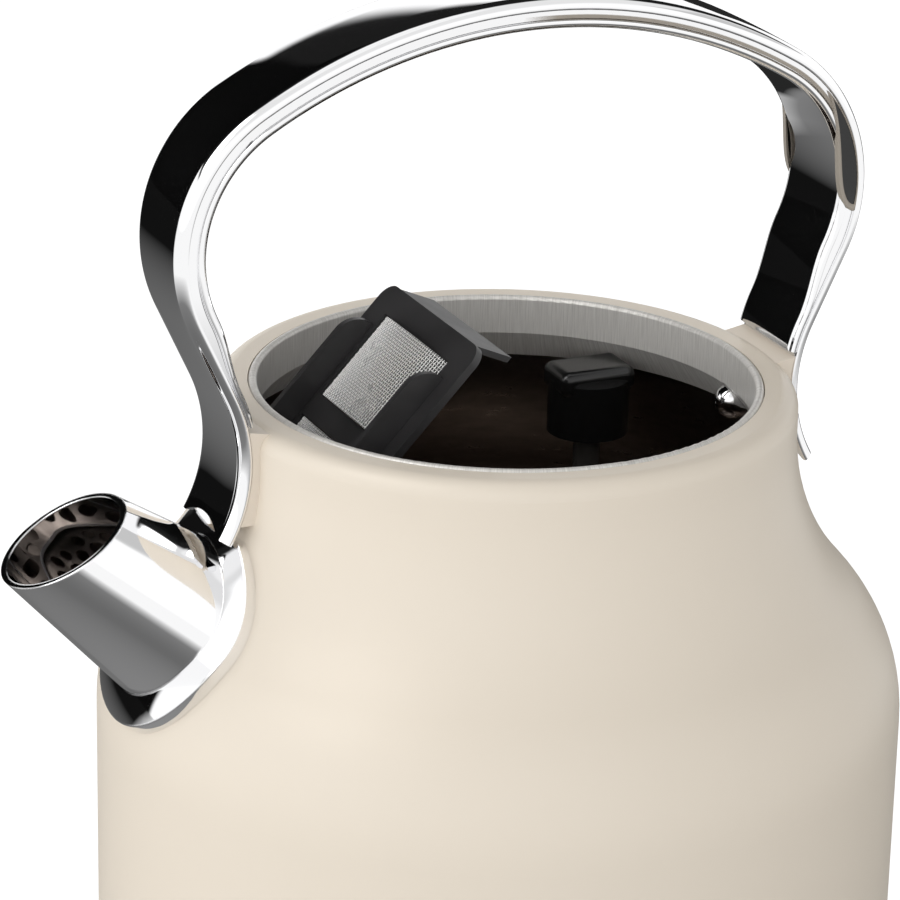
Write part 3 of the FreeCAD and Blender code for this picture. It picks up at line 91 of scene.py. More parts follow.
def mixed(tree, mask, under, over, kind="FLOAT"):
    """Socket that goes from under to over as the mask goes from 0 to 1."""
    mix = tree.nodes.new("ShaderNodeMix")
    mix.data_type = kind
    first, result = (6, 2) if kind == "RGBA" else (2, 0)
    for index, value in ((0, mask), (first, under), (first + 1, over)):
        if isinstance(value, bpy.types.NodeSocket):
            link(tree, value, mix.inputs[index])
        else:
            mix.inputs[index].default_value = value
    return mix.outputs[result]


def shared_effect(name, inputs, outputs):
    """Empty node group with its named sockets, and its inner input and output nodes."""
    group = bpy.data.node_groups.new(name, "ShaderNodeTree")
    for label, kind, value in inputs:
        socket = group.interface.new_socket(label, in_out="INPUT", socket_type=kind)
        if value is not None:
            socket.default_value = value
    for label, kind in outputs:
        group.interface.new_socket(label, in_out="OUTPUT", socket_type=kind)
    inner = group.nodes.new("NodeGroupInput")
    outer = group.nodes.new("NodeGroupOutput")
    return group, inner, outer


FLOAT, VECTOR, COLOUR = "NodeSocketFloat", "NodeSocketVector", "NodeSocketColor"


def put_out(group, inner, outer, pattern, share, height):
    """A group's colour, roughness and height, all following one pattern."""
    tone = mixed(group, share, inner.outputs["Base"], inner.outputs["Tint"], "RGBA")
    rough = ranged(group, pattern, 0.3, 0.7, inner.outputs["Rough low"],
                   inner.outputs["Rough high"])
    for label, socket in (("Colour", tone), ("Rough", rough), ("Height", height)):
        link(group, socket, outer.inputs[label])


def make_speckle():
    """Fine grain, with a slow drift of tone under it."""
    group, inner, outer = shared_effect(
        "fine_grain",
        [("Place", VECTOR, None), ("Grain", FLOAT, 1500.0), ("Drift", FLOAT, 25.0),
         ("Base", COLOUR, (0.5, 0.5, 0.5, 1)), ("Tint", COLOUR, (0.4, 0.4, 0.4, 1)),
         ("Amount", FLOAT, 0.3), ("Rough low", FLOAT, 0.3), ("Rough high", FLOAT, 0.4)],
        [("Colour", COLOUR), ("Rough", FLOAT), ("Height", FLOAT)])
    grain = add_node(group, "ShaderNodeTexNoise", Vector=inner.outputs["Place"],
                     Scale=inner.outputs["Grain"], Detail=2.0, Roughness=0.5)
    drift = add_node(group, "ShaderNodeTexNoise", Vector=inner.outputs["Place"],
                     Scale=inner.outputs["Drift"], Detail=3.0, Roughness=0.55)
    put_out(group, inner, outer, drift.outputs["Fac"],
            times(group, drift.outputs["Fac"], inner.outputs["Amount"]), grain.outputs["Fac"])
    return group


def make_brush():
    """Brushed lines: noise drawn out along one direction of the place it is given."""
    group, inner, outer = shared_effect(
        "brushed_lines",
        [("Place", VECTOR, None), ("Spread", VECTOR, (1, 1, 1)), ("Fineness", FLOAT, 1.0),
         ("Base", COLOUR, (0.6, 0.6, 0.6, 1)), ("Tint", COLOUR, (0.5, 0.5, 0.5, 1)),
         ("Rough low", FLOAT, 0.25), ("Rough high", FLOAT, 0.4)],
        [("Colour", COLOUR), ("Rough", FLOAT), ("Height", FLOAT)])
    drawn = add_node(group, "ShaderNodeVectorMath", "MULTIPLY", _0=inner.outputs["Place"],
                     _1=inner.outputs["Spread"])
    lines = add_node(group, "ShaderNodeTexNoise", Vector=drawn.outputs[0],
                     Scale=inner.outputs["Fineness"], Detail=4.0, Roughness=0.65)
    put_out(group, inner, outer, lines.outputs["Fac"], lines.outputs["Fac"],
            lines.outputs["Fac"])
    return group


def make_round_place():
    """Place as angle, height and radius about the upright axis, for marks that go round."""
    group, inner, outer = shared_effect(
        "round_place", [("Place", VECTOR, None), ("Centre", VECTOR, (0, 0, 0))],
        [("Round", VECTOR)])
    off = add_node(group, "ShaderNodeVectorMath", "SUBTRACT", _0=inner.outputs["Place"],
                   _1=inner.outputs["Centre"])
    split = add_node(group, "ShaderNodeSeparateXYZ", Vector=off.outputs[0])
    angle = add_node(group, "ShaderNodeMath", "ARCTAN2", _0=split.outputs["Y"],
                     _1=split.outputs["X"])
    xx = times(group, split.outputs["X"], split.outputs["X"])
    yy = times(group, split.outputs["Y"], split.outputs["Y"])
    both = add_node(group, "ShaderNodeMath", "ADD", _0=xx, _1=yy)
    far = add_node(group, "ShaderNodeMath", "SQRT", _0=both.outputs[0])
    joined = add_node(group, "ShaderNodeCombineXYZ", X=angle.outputs[0], Y=split.outputs["Z"],
                      Z=far.outputs[0])
    link(group, joined.outputs[0], outer.inputs["Round"])
    return group


fine_grain = make_speckle()
brushed_lines = make_brush()
round_place = make_round_place()


def new_material(name):
    """Material with its shader and the surface's own place."""
    made = bpy.data.materials.new(name)
    made.use_nodes = True
    tree = made.node_tree
    tree.nodes.clear()
    shader = tree.nodes.new("ShaderNodeBsdfPrincipled")
    output = tree.nodes.new("ShaderNodeOutputMaterial")
    link(tree, shader.outputs[0], output.inputs[0])
    place = tree.nodes.new("ShaderNodeTexCoord")
    return made, tree, shader, place.outputs["Object"]


def patterned(name, effect_group, settings, base, tint, rough, height, metallic,
              round_centre=None, coat=0.0, edge=0.0):
    """Material that follows a shared effect. With an edge, sharp corners catch the light."""
    made, tree, shader, place = new_material(name)
    if round_centre is not None:
        turned = tree.nodes.new("ShaderNodeGroup")
        turned.node_tree = round_place
        link(tree, place, turned.inputs["Place"])
        turned.inputs["Centre"].default_value = round_centre
        place = turned.outputs["Round"]
    effect = tree.nodes.new("ShaderNodeGroup")
    effect.node_tree = effect_group
    link(tree, place, effect.inputs["Place"])
    for label, value in (*settings, ("Base", (*base, 1)), ("Tint", (*tint, 1)),
                         ("Rough low", rough[0]), ("Rough high", rough[1])):
        effect.inputs[label].default_value = value
    bump = add_node(tree, "ShaderNodeBump", Height=effect.outputs["Height"], Distance=height,
                    Strength=1.0)
    if edge:
        eased = add_node(tree, "ShaderNodeBevel", Radius=edge)
        eased.samples = 6
        link(tree, eased.outputs[0], bump.inputs["Normal"])
    link(tree, effect.outputs["Colour"], shader.inputs["Base Color"])
    link(tree, effect.outputs["Rough"], shader.inputs["Roughness"])
    link(tree, bump.outputs[0], shader.inputs["Normal"])
    shader.inputs["Metallic"].default_value = metallic
    shader.inputs["Coat Weight"].default_value = coat
    shader.inputs["Coat Roughness"].default_value = 0.1
    return made


def grained(name, base, tint, rough, grain, drift=25.0, amount=0.5, height=0.00001,
            metallic=0.0, coat=0.0, edge=0.0):
    """Paint, plastic, rubber or plain metal: fine grain, and a slow drift of tone and gloss."""
    settings = (("Grain", grain), ("Drift", drift), ("Amount", amount))
    return patterned(name, fine_grain, settings, base, tint, rough, height, metallic,
                     coat=coat, edge=edge)


def brushed(name, base, tint, rough, spread, height, metallic=1.0):
    """Brushed metal whose lines go round the kettle's upright axis."""
    settings = (("Spread", spread), ("Fineness", 1.0))
    return patterned(name, brushed_lines, settings, base, tint, rough, height, metallic,
                     round_centre=(0, 0, 0))


cream_paint = grained("cream_paint", (0.80, 0.72, 0.61), (0.77, 0.69, 0.58), (0.36, 0.42),
                      grain=900.0, height=0.000004)
cream_grip = grained("cream_grip", (0.78, 0.70, 0.60), (0.74, 0.66, 0.56), (0.42, 0.5),
                     grain=2600.0, height=0.00001)
TAUPE = dict(base=(0.36, 0.32, 0.27), tint=(0.30, 0.27, 0.23), rough=(0.4, 0.5), grain=2200.0)
taupe_liner = grained("taupe_liner", **TAUPE)
taupe_rim = grained("taupe_rim", **TAUPE)
CHROME = dict(base=(0.93, 0.93, 0.935), tint=(0.88, 0.88, 0.89), rough=(0.015, 0.045),
              grain=60.0, drift=18.0, amount=0.4, height=0.000001, metallic=1.0)
mirror_chrome = grained("mirror_chrome", **CHROME)
edge_chrome = grained("edge_chrome", edge=0.0007, **CHROME)
ring_steel = brushed("ring_steel", (0.99, 0.97, 0.93), (0.42, 0.40, 0.37), (0.34, 0.55),
                     (190.0, 90.0, 90.0), 0.00003, metallic=0.3)
pot_steel = brushed("pot_steel", (0.30, 0.255, 0.225), (0.17, 0.14, 0.12), (0.26, 0.4),
                    (9.0, 420.0, 420.0), 0.00001)
mesh_wire = grained("mesh_wire", (1.0, 0.99, 0.97), (0.94, 0.93, 0.91), (0.25, 0.35),
                    grain=3000.0, drift=120.0, height=0.000003, metallic=0.55)
# Black plastic. The slow drift towards the lighter tint is painted sheen: patches of reflection
# laid into the colour.
filter_black = grained("filter_black", (0.012, 0.0115, 0.012), (0.075, 0.072, 0.074),
                       (0.3, 0.42), grain=2400.0, drift=60.0, height=0.000006)
cap_black = grained("cap_black", (0.006, 0.006, 0.006), (0.01, 0.01, 0.01), (0.16, 0.24),
                    grain=2600.0, drift=60.0, height=0.00001)
shell_black = grained("shell_black", (0.018, 0.018, 0.019), (0.028, 0.028, 0.028),
                      (0.36, 0.48), grain=1800.0, height=0.00002)
inner_plastic = grained("inner_plastic", (0.09, 0.09, 0.09), (0.13, 0.13, 0.13), (0.45, 0.55),
                        grain=1600.0, height=0.00002)
tube_grey = grained("tube_grey", (0.06, 0.055, 0.05), (0.04, 0.036, 0.032), (0.3, 0.4),
                    grain=1500.0, height=0.00001)
seal_rubber = grained("seal_rubber", (0.55, 0.54, 0.52), (0.45, 0.44, 0.42), (0.6, 0.75),
                      grain=1500.0, height=0.00002)
foot_rubber = grained("foot_rubber", (0.03, 0.03, 0.03), (0.05, 0.05, 0.05), (0.7, 0.85),
                      grain=1500.0, height=0.00003)
plain_steel = grained("plain_steel", (0.62, 0.61, 0.6), (0.5, 0.49, 0.48), (0.22, 0.32),
                      grain=1200.0, drift=60.0, height=0.000005, metallic=1.0)
brass = grained("brass", (0.72, 0.52, 0.24), (0.6, 0.42, 0.18), (0.22, 0.34), grain=1200.0,
                drift=80.0, height=0.000005, metallic=1.0)
aluminium = grained("aluminium", (0.72, 0.72, 0.73), (0.6, 0.6, 0.61), (0.35, 0.5),
                    grain=900.0, drift=60.0, height=0.00002, metallic=1.0)
element_steel = grained("element_steel", (0.3, 0.28, 0.26), (0.22, 0.2, 0.2), (0.35, 0.5),
                        grain=900.0, drift=80.0, height=0.00001, metallic=1.0)
lens_amber = grained("lens_amber", (0.7, 0.62, 0.55), (0.6, 0.5, 0.42), (0.1, 0.16),
                     grain=900.0, height=0.000002, coat=0.6)



def surface_of(material):
    """A finished material's tree, its shader and the surface's own place."""
    tree = material.node_tree
    shader = next(node for node in tree.nodes if node.type == "BSDF_PRINCIPLED")
    place = next(node for node in tree.nodes if node.type == "TEX_COORD").outputs["Object"]
    return tree, shader, place


def recoloured(tree, shader, mask, colour):
    """Lays a plain colour over the shader's own where the mask is 1."""
    own = shader.inputs["Base Color"].links[0].from_socket
    link(tree, mixed(tree, mask, own, (*colour, 1), "RGBA"), shader.inputs["Base Color"])


def steel_behind_spout(paint):
    """The strainer wall inside the spout is bare steel: paint stops under the collar."""
    tree, shader, place = surface_of(paint)
    soft = 0.2 * MM
    off = add_node(tree, "ShaderNodeVectorMath", "SUBTRACT", _0=place, _1=MOUTH * MM)
    across = add_node(tree, "ShaderNodeVectorMath", "CROSS_PRODUCT", _0=off.outputs[0],
                      _1=(-math.cos(SPOUT_RISE), 0.0, math.sin(SPOUT_RISE)))
    away = add_node(tree, "ShaderNodeVectorMath", "LENGTH", _0=across.outputs[0])
    split = add_node(tree, "ShaderNodeSeparateXYZ", Vector=place)
    inside = ranged(tree, away.outputs["Value"], SPOUT_BORE_R * MM + soft,
                    SPOUT_BORE_R * MM - soft)
    spout_side = ranged(tree, split.outputs["X"], -40.0 * MM, -50.0 * MM)
    bare = times(tree, inside, spout_side)
    recoloured(tree, shader, bare, (0.44, 0.44, 0.45))
    link(tree, times(tree, bare, 0.5), shader.inputs["Metallic"])


steel_behind_spout(cream_paint)


def polished_ahead(liner):
    """The edge of the grip band is polished metal, all of it towards the spout and its outer
    part elsewhere, so that the liner shows as a thin line next to the inner strap."""
    tree, shader, place = surface_of(liner)
    line_depth, soft = 4.0 * MM, 0.1 * MM
    split = add_node(tree, "ShaderNodeSeparateXYZ", Vector=place)

    def depth_in(centre, radius):
        across = add_node(tree, "ShaderNodeMath", "SUBTRACT", _0=split.outputs["X"],
                          _1=centre.x * MM)
        up = add_node(tree, "ShaderNodeMath", "SUBTRACT", _0=split.outputs["Z"],
                      _1=centre.z * MM)
        flat = add_node(tree, "ShaderNodeCombineXYZ", X=across.outputs[0], Y=up.outputs[0])
        reach = add_node(tree, "ShaderNodeVectorMath", "LENGTH", _0=flat.outputs[0])
        return add_node(tree, "ShaderNodeMath", "SUBTRACT", _0=radius * MM,
                        _1=reach.outputs["Value"]).outputs[0]

    past_crown = ranged(tree, split.outputs["X"], 63.0 * MM, 65.0 * MM)
    depth = mixed(tree, past_crown, depth_in(CROWN, CROWN_R), depth_in(CORNER, CORNER_R))
    ahead = ranged(tree, split.outputs["X"], 4.0 * MM, -4.0 * MM)
    outer_part = ranged(tree, depth, line_depth + soft, line_depth - soft)
    polished = add_node(tree, "ShaderNodeMath", "MAXIMUM", _0=ahead, _1=outer_part).outputs[0]
    recoloured(tree, shader, polished, (0.9, 0.9, 0.905))
    own_rough = shader.inputs["Roughness"].links[0].from_socket
    link(tree, mixed(tree, polished, own_rough, 0.04), shader.inputs["Roughness"])
    link(tree, polished, shader.inputs["Metallic"])


polished_ahead(taupe_liner)

FINISH = {
    "body_shell": cream_paint, "neck_ring": ring_steel, "inner_pot": pot_steel,
    "spout": edge_chrome, "spout_collar": edge_chrome, "spout_seal": seal_rubber,
    "handle_outer_strap": mirror_chrome, "handle_inner_strap": mirror_chrome,
    "handle_grip_band": taupe_liner, "saddle_pads": cream_grip, "handle_studs": plain_steel,
    "handle_nuts": mirror_chrome, "steam_tube": tube_grey, "steam_cap": cap_black,
    "heat_plate": aluminium, "heating_element": element_steel, "control_unit": inner_plastic,
    "kettle_connector": inner_plastic, "lower_trim": edge_chrome, "base_skirt": shell_black,
    "bottom_cover": shell_black, "cover_screws": plain_steel, "switch_bracket": inner_plastic,
    "switch_pin": plain_steel, "filter_seat": cap_black, "filter_frame": filter_black,
    "filter_mesh": mesh_wire, "switch_lever": shell_black, "indicator_lens": lens_amber,
    "base_housing": shell_black, "base_tray": shell_black, "base_screws": plain_steel,
    "base_feet": foot_rubber, "base_connector": inner_plastic, "centre_contact": brass,
    "contact_rings": brass, "cord_gland": foot_rubber,
}
for name, finish in FINISH.items():
    held = nodes[name].data.materials
    if not held:
        held.append(finish)
    for index in range(len(held)):
        held[index] = finish


# ---------------------------------------------------------------- new pieces
def finished(shape, name, finish, body, stands_for=()):
    """Object from a bmesh, on its body, with its finish."""
    mesh = bpy.data.meshes.new(name)
    shape.to_mesh(mesh)
    shape.free()
    mesh.materials.append(finish)
    made = bpy.data.objects.new(name, mesh)
    bpy.context.scene.collection.objects.link(made)
    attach(made, body)
    if stands_for:
        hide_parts(*stands_for)
    return made


def woven_wire():
    """Plain square weave of both filter windows: every wire goes over and under in turn,
    with a thin dark sheet of painted shade behind it that darkens the gaps."""
    half_width, rise, face = 17.0, 3.2, 0.9
    bulge_r = (half_width * half_width + rise * rise) / (2 * rise)
    pitch, wire_r, shade_sheet_thickness = 0.75, 0.13, 0.02
    windows = ((5.2, 26.3), (32.7, 55.3))

    def on_bulge(y, z, out):
        angle = math.asin(y / bulge_r)
        reach = bulge_r + out
        spot = Vector((bulge_r - rise + face - reach * math.cos(angle),
                       reach * math.sin(angle), z)) * MM
        return FILTER_AT + FILTER_TURN @ spot

    wires = bpy.data.curves.new("wires", "CURVE")
    wires.dimensions = "3D"
    wires.bevel_depth = wire_r * MM
    wires.bevel_resolution = 0
    wires.use_fill_caps = True

    def add_wire(points):
        strand = wires.splines.new("POLY")
        strand.points.add(len(points) - 1)
        for place, point in zip(points, strand.points):
            point.co = (*place, 1)

    for low, high in windows:
        across, along = int(2 * half_width / pitch), int((high - low) / pitch)
        ys = [-half_width + pitch * (k + 0.5) for k in range(across)]
        zs = [low + pitch * (k + 0.5) for k in range(along)]
        for i, y in enumerate(ys):
            over_under = [on_bulge(y, z, wire_r if (i + j) % 2 else -wire_r)
                          for j, z in enumerate(zs)]
            add_wire([on_bulge(y, low, 0), *over_under, on_bulge(y, high, 0)])
        for j, z in enumerate(zs):
            over_under = [on_bulge(y, z, -wire_r if (i + j) % 2 else wire_r)
                          for i, y in enumerate(ys)]
            add_wire([on_bulge(-half_width, z, 0), *over_under, on_bulge(half_width, z, 0)])
    holder = bpy.data.objects.new("wires", wires)
    bpy.context.scene.collection.objects.link(holder)
    bpy.context.view_layer.update()
    mesh = bpy.data.meshes.new_from_object(
        holder.evaluated_get(bpy.context.evaluated_depsgraph_get()))
    bpy.data.objects.remove(holder)
    shape = bmesh.new()
    shape.from_mesh(mesh)
    bpy.data.meshes.remove(mesh)
    wire_faces = set(shape.faces)
    # A thin dark sheet just behind the weave is painted shade, not a real lining: it darkens the
    # gaps between the wires.
    for low, high in windows:
        grid = bmesh.ops.create_grid(shape, x_segments=16, y_segments=6, size=1.0)["verts"]
        for corner in grid:
            corner.co = on_bulge(corner.co.x * half_width,
                                 (low + high) / 2 + corner.co.y * (high - low) / 2, 0)
    shade_sheet_faces = [face for face in shape.faces if face not in wire_faces]
    bmesh.ops.solidify(shape, geom=shade_sheet_faces, thickness=shade_sheet_thickness * MM)
    for face in shape.faces:
        if face not in wire_faces:
            face.material_index = 1
    bmesh.ops.recalc_face_normals(shape, faces=shape.faces)
    piece = finished(shape, "filter_weave", mesh_wire, "filter", ["filter_mesh"])
    # The second slot, shell_black, is the painted shade on the sheet behind the wires.
    piece.data.materials.append(shell_black)


woven_wire()


# ------------------------------------------------------------------- handle
def only(kind, parts):
    return [part for part in parts if isinstance(part, kind)]


def swept_strap(shape, half, foot_z, low_span=None):
    """Sweeps a section along the handle from the crown to both feet. half is the section's
    right half, as (across, depth) from its top middle to its low middle. low_span is the
    section's (upper, lower) depth at the foot where it thins down the leg."""
    section = half + [(-across, depth) for across, depth in reversed(half) if across > 0]
    ring = [shape.verts.new(Vector((0, y, CROWN.z + CROWN_R - depth)) * MM)
            for y, depth in section]
    geometry = ring + [shape.edges.new((ring[k - 1], ring[k])) for k in range(len(ring))]
    crown_steps, corner_steps, leg_steps, foot_steps = 20, 44, 16, 26

    def spun(centre, angle, steps):
        made = bmesh.ops.spin(shape, geom=geometry, cent=centre * MM, axis=(0, 1, 0),
                              angle=angle, steps=steps, use_merge=False,
                              use_normal_flip=False, use_duplicate=False)
        return only((bmesh.types.BMVert, bmesh.types.BMEdge), made["geom_last"])

    geometry = spun(CROWN, math.pi / 2 - HIGH, crown_steps)
    geometry = spun(CORNER, HIGH - LOW, corner_steps)
    first_span = min(d for _, d in section), max(d for _, d in section)
    last_span = low_span or first_span
    span = first_span
    for step in range(1, leg_steps + 1):
        made = bmesh.ops.extrude_edge_only(shape, edges=only(bmesh.types.BMEdge, geometry))
        geometry = only((bmesh.types.BMVert, bmesh.types.BMEdge), made["geom"])
        corners = only(bmesh.types.BMVert, geometry)
        bmesh.ops.translate(shape, verts=corners, vec=(ANKLE - KNEE) * MM / leg_steps)
        share = step / leg_steps
        share = share * share * (3 - 2 * share)
        thinned = tuple(first + (last - first) * share
                        for first, last in zip(first_span, last_span))
        for corner in corners:
            depth = (KNEE * MM - corner.co).dot(LEG_OUT) / MM
            part = (depth - span[0]) / (span[1] - span[0])
            wanted = thinned[0] + part * (thinned[1] - thinned[0])
            corner.co -= LEG_OUT * (wanted - depth) * MM
        span = thinned
    turn = math.asin((foot_z - HEEL.z) / HEEL_R) + LOW
    geometry = spun(HEEL, turn, foot_steps)
    bmesh.ops.edgeloop_fill(shape, edges=only(bmesh.types.BMEdge, geometry))
    bmesh.ops.mirror(shape, geom=shape.verts[:] + shape.edges[:] + shape.faces[:],
                     matrix=Matrix.Identity(4), merge_dist=0.000001, axis="X",
                     mirror_u=False, mirror_v=False)


def cleaned(shape):
    bmesh.ops.remove_doubles(shape, verts=shape.verts, dist=0.000001)
    bmesh.ops.recalc_face_normals(shape, faces=shape.faces)


def smoothed(piece, angle=32.0):
    for face in piece.data.polygons:
        face.use_smooth = True
    piece.data.set_sharp_from_angle(angle=math.radians(angle))


def outer_strap():
    """Polished strap with a nearly flat face, fully rounded long edges and arched feet."""
    thick, foot_z, arch_r, arch_z = 3.0, 148.2, 18.0, 132.6
    flat, edge_wide, edge_deep, crowned = 9.3, 3.2, 2.38, 0.12
    quarter = [math.radians(11.25 * k) for k in range(1, 9)]
    half = [(0.0, 0.0), (5.0, 0.03), (flat, crowned)]
    half += [(flat + edge_wide * math.sin(t), crowned + edge_deep * (1 - math.cos(t)))
             for t in quarter]
    half += [(12.4, thick - 0.2), (12.1, thick - 0.03), (11.6, thick), (0.0, thick)]
    shape = bmesh.new()
    swept_strap(shape, half, foot_z)
    cleaned(shape)
    piece = finished(shape, "outer_strap_polished", mirror_chrome, "kettle",
                     ["handle_outer_strap"])
    cutter_shape = bmesh.new()
    bmesh.ops.create_cone(
        cutter_shape, cap_ends=True, segments=96, radius1=arch_r * MM, radius2=arch_r * MM,
        depth=0.3, matrix=Matrix.Translation(Vector((0, 0, arch_z)) * MM)
        @ Matrix.Rotation(math.pi / 2, 4, "Y"))
    cutter_mesh = bpy.data.meshes.new("foot_arch")
    cutter_shape.to_mesh(cutter_mesh)
    cutter_shape.free()
    cutter = bpy.data.objects.new("foot_arch", cutter_mesh)
    bpy.context.scene.collection.objects.link(cutter)
    cut = piece.modifiers.new("foot_arch", "BOOLEAN")
    cut.object, cut.operation, cut.solver = cutter, "DIFFERENCE", "EXACT"
    bpy.context.view_layer.update()
    baked = bpy.data.meshes.new_from_object(
        piece.evaluated_get(bpy.context.evaluated_depsgraph_get()))
    piece.modifiers.clear()
    piece.data = baked
    bpy.data.objects.remove(cutter)
    smoothed(piece)


def inner_strap():
    """Thin polished strap under the grip band, with a narrow core that fills the legs."""
    shape = bmesh.new()
    half = [(0.0, 4.85), (11.4, 4.85), (12.0, 4.97), (12.4, 5.3), (12.5, 5.75), (12.4, 6.25),
            (12.0, 6.75), (11.3, 7.08), (10.4, 7.2), (0.0, 7.2)]
    swept_strap(shape, half, 172.9, low_span=(3.1, 4.7))
    core = bmesh.new()
    swept_strap(core, [(0.0, 3.05), (11.6, 3.05), (11.6, 4.9), (0.0, 4.9)], 173.0,
                low_span=(3.05, 3.4))
    cleaned(shape)
    cleaned(core)
    spare = bpy.data.meshes.new("core")
    core.to_mesh(spare)
    core.free()
    shape.from_mesh(spare)
    bpy.data.meshes.remove(spare)
    smoothed(finished(shape, "inner_strap_polished", mirror_chrome, "kettle",
                      ["handle_inner_strap"]))


def thumb_recesses():
    """Teardrop hollows at the rear end of the grip, one on each edge: a moulded rim on the
    inner side and below, round a near-black floor of painted shade. Made flat as rings of a disc,
    then laid in place."""
    # rim from the outside in, as (margin from the outline, height above the middle plane)
    rings = ((0.0, 11.4), (0.0, 12.75), (0.25, 12.95), (0.7, 13.0), (1.25, 12.9), (1.5, 12.62))
    upper_end, lower_end, widest, outer_side = 41.0, -10.0, 6.6, 3.3
    shape = bmesh.new()
    bmesh.ops.create_circle(shape, cap_ends=False, segments=56, radius=len(rings))
    edges = shape.edges[:]
    for ring in range(len(rings) - 1, 0, -1):
        grown = bmesh.ops.extrude_edge_only(shape, edges=edges)["geom"]
        edges = only(bmesh.types.BMEdge, grown)
        for corner in only(bmesh.types.BMVert, grown):
            corner.co *= ring / (ring + 1)
    floor = bmesh.ops.edgeloop_fill(shape, edges=edges)["faces"]
    for corner in shape.verts:
        margin, level = rings[len(rings) - round(corner.co.length)]
        turn = math.atan2(corner.co.y, corner.co.x)
        width = widest * abs(math.sin(turn)) * abs(math.sin(turn / 2)) ** 1.2
        top, bottom = upper_end - 2.2 * margin, lower_end + 1.7 * margin
        angle = math.radians((top + bottom) / 2 + (top - bottom) / 2 * math.cos(turn))
        depth = outer_side + 0.15 * margin
        depth += width * (1 - margin / 5.4) if turn > 0 else -0.05 * width
        reach = CORNER_R - depth
        corner.co = (CORNER + Vector((reach * math.cos(angle), -level,
                                      reach * math.sin(angle)))) * MM
    # The floor faces take the near-black second slot, cap_black: painted shade that stands for
    # the depth of the hollow.
    for face in floor:
        face.material_index = 1
    bmesh.ops.mirror(shape, geom=shape.verts[:] + shape.edges[:] + shape.faces[:],
                     matrix=Matrix.Identity(4), merge_dist=0.0, axis="Y", mirror_u=False,
                     mirror_v=False)
    bmesh.ops.recalc_face_normals(shape, faces=shape.faces)
    for face in shape.faces:
        if face.material_index == 1 and face.normal.y * face.calc_center_median().y < 0:
            bmesh.ops.reverse_faces(shape, faces=shape.faces)
            break
    piece = finished(shape, "grip_recesses", taupe_rim, "kettle")
    # cap_black on the hollow's floor is painted shade.
    piece.data.materials.append(cap_black)
    smoothed(piece, 50.0)


outer_strap()
inner_strap()
thumb_recesses()


# ------------------------------------------------------------ studio and view
def bearing_of(tree, split):
    """Angle about the upright axis, in radians: 0 looks along +Y, a quarter turn along +X."""
    return add_node(tree, "ShaderNodeMath", "ARCTAN2", _0=split.outputs["X"],
                    _1=split.outputs["Y"]).outputs[0]


def studio_floor():
    """Pale floor. Polished parts mirror it as a grey that pales outwards, from the shaded
    ground beside the base, with a dark sector and a dark strip behind."""
    shape = bmesh.new()
    bmesh.ops.create_circle(shape, cap_ends=True, segments=96, radius=6.0)
    mesh = bpy.data.meshes.new("studio_floor")
    shape.to_mesh(mesh)
    shape.free()
    pale = bpy.data.materials.new("pale_floor")
    pale.use_nodes = True
    tree = pale.node_tree
    tree.nodes.clear()
    output = tree.nodes.new("ShaderNodeOutputMaterial")
    path = tree.nodes.new("ShaderNodeLightPath")
    lit = add_node(tree, "ShaderNodeBsdfDiffuse", Color=(0.92, 0.92, 0.92, 1))
    soft = add_node(tree, "ShaderNodeBsdfDiffuse", Color=(0.35, 0.35, 0.35, 1))
    glow = add_node(tree, "ShaderNodeEmission", Color=(1, 1, 1, 1), Strength=0.85)
    seen = add_node(tree, "ShaderNodeAddShader", _0=glow.outputs[0], _1=soft.outputs[0])
    place = tree.nodes.new("ShaderNodeTexCoord")
    split = add_node(tree, "ShaderNodeSeparateXYZ", Vector=place.outputs["Object"])
    away = add_node(tree, "ShaderNodeVectorMath", "LENGTH",
                    _0=place.outputs["Object"]).outputs["Value"]
    bearing = bearing_of(tree, split)
    rings = (ranged(tree, away, 0.09, 0.2, 0.28, 0.15), ranged(tree, away, 0.22, 0.38, 0, 0.07),
             ranged(tree, away, 0.36, 0.58, 0, 0.8))
    ground = rings[0]
    for ring in rings[1:]:
        ground = add_node(tree, "ShaderNodeMath", "ADD", _0=ground, _1=ring).outputs[0]
    strip = times(tree, ranged(tree, bearing, math.radians(16), math.radians(19)),
                  ranged(tree, bearing, math.radians(66), math.radians(62)))
    strip = times(tree, strip, ranged(tree, away, 0.36, 0.42))
    sector = times(tree, ranged(tree, bearing, math.radians(-52), math.radians(-46)),
                   ranged(tree, bearing, math.radians(4), math.radians(-6)))
    value = mixed(tree, strip, ground, 0.02)
    value = mixed(tree, sector, value, ranged(tree, away, 0.26, 0.85, 0.17, 0.006))
    grey = add_node(tree, "ShaderNodeEmission", Color=(1, 1, 1, 1), Strength=value)
    mirrored = add_node(tree, "ShaderNodeMixShader", Fac=path.outputs["Is Glossy Ray"],
                        _1=lit.outputs[0], _2=grey.outputs[0])
    both = add_node(tree, "ShaderNodeMixShader", Fac=path.outputs["Is Camera Ray"],
                    _1=mirrored.outputs[0], _2=seen.outputs[0])
    link(tree, both.outputs[0], output.inputs[0])
    mesh.materials.append(pale)
    floor = bpy.data.objects.new("studio_floor", mesh)
    bpy.context.scene.collection.objects.link(floor)


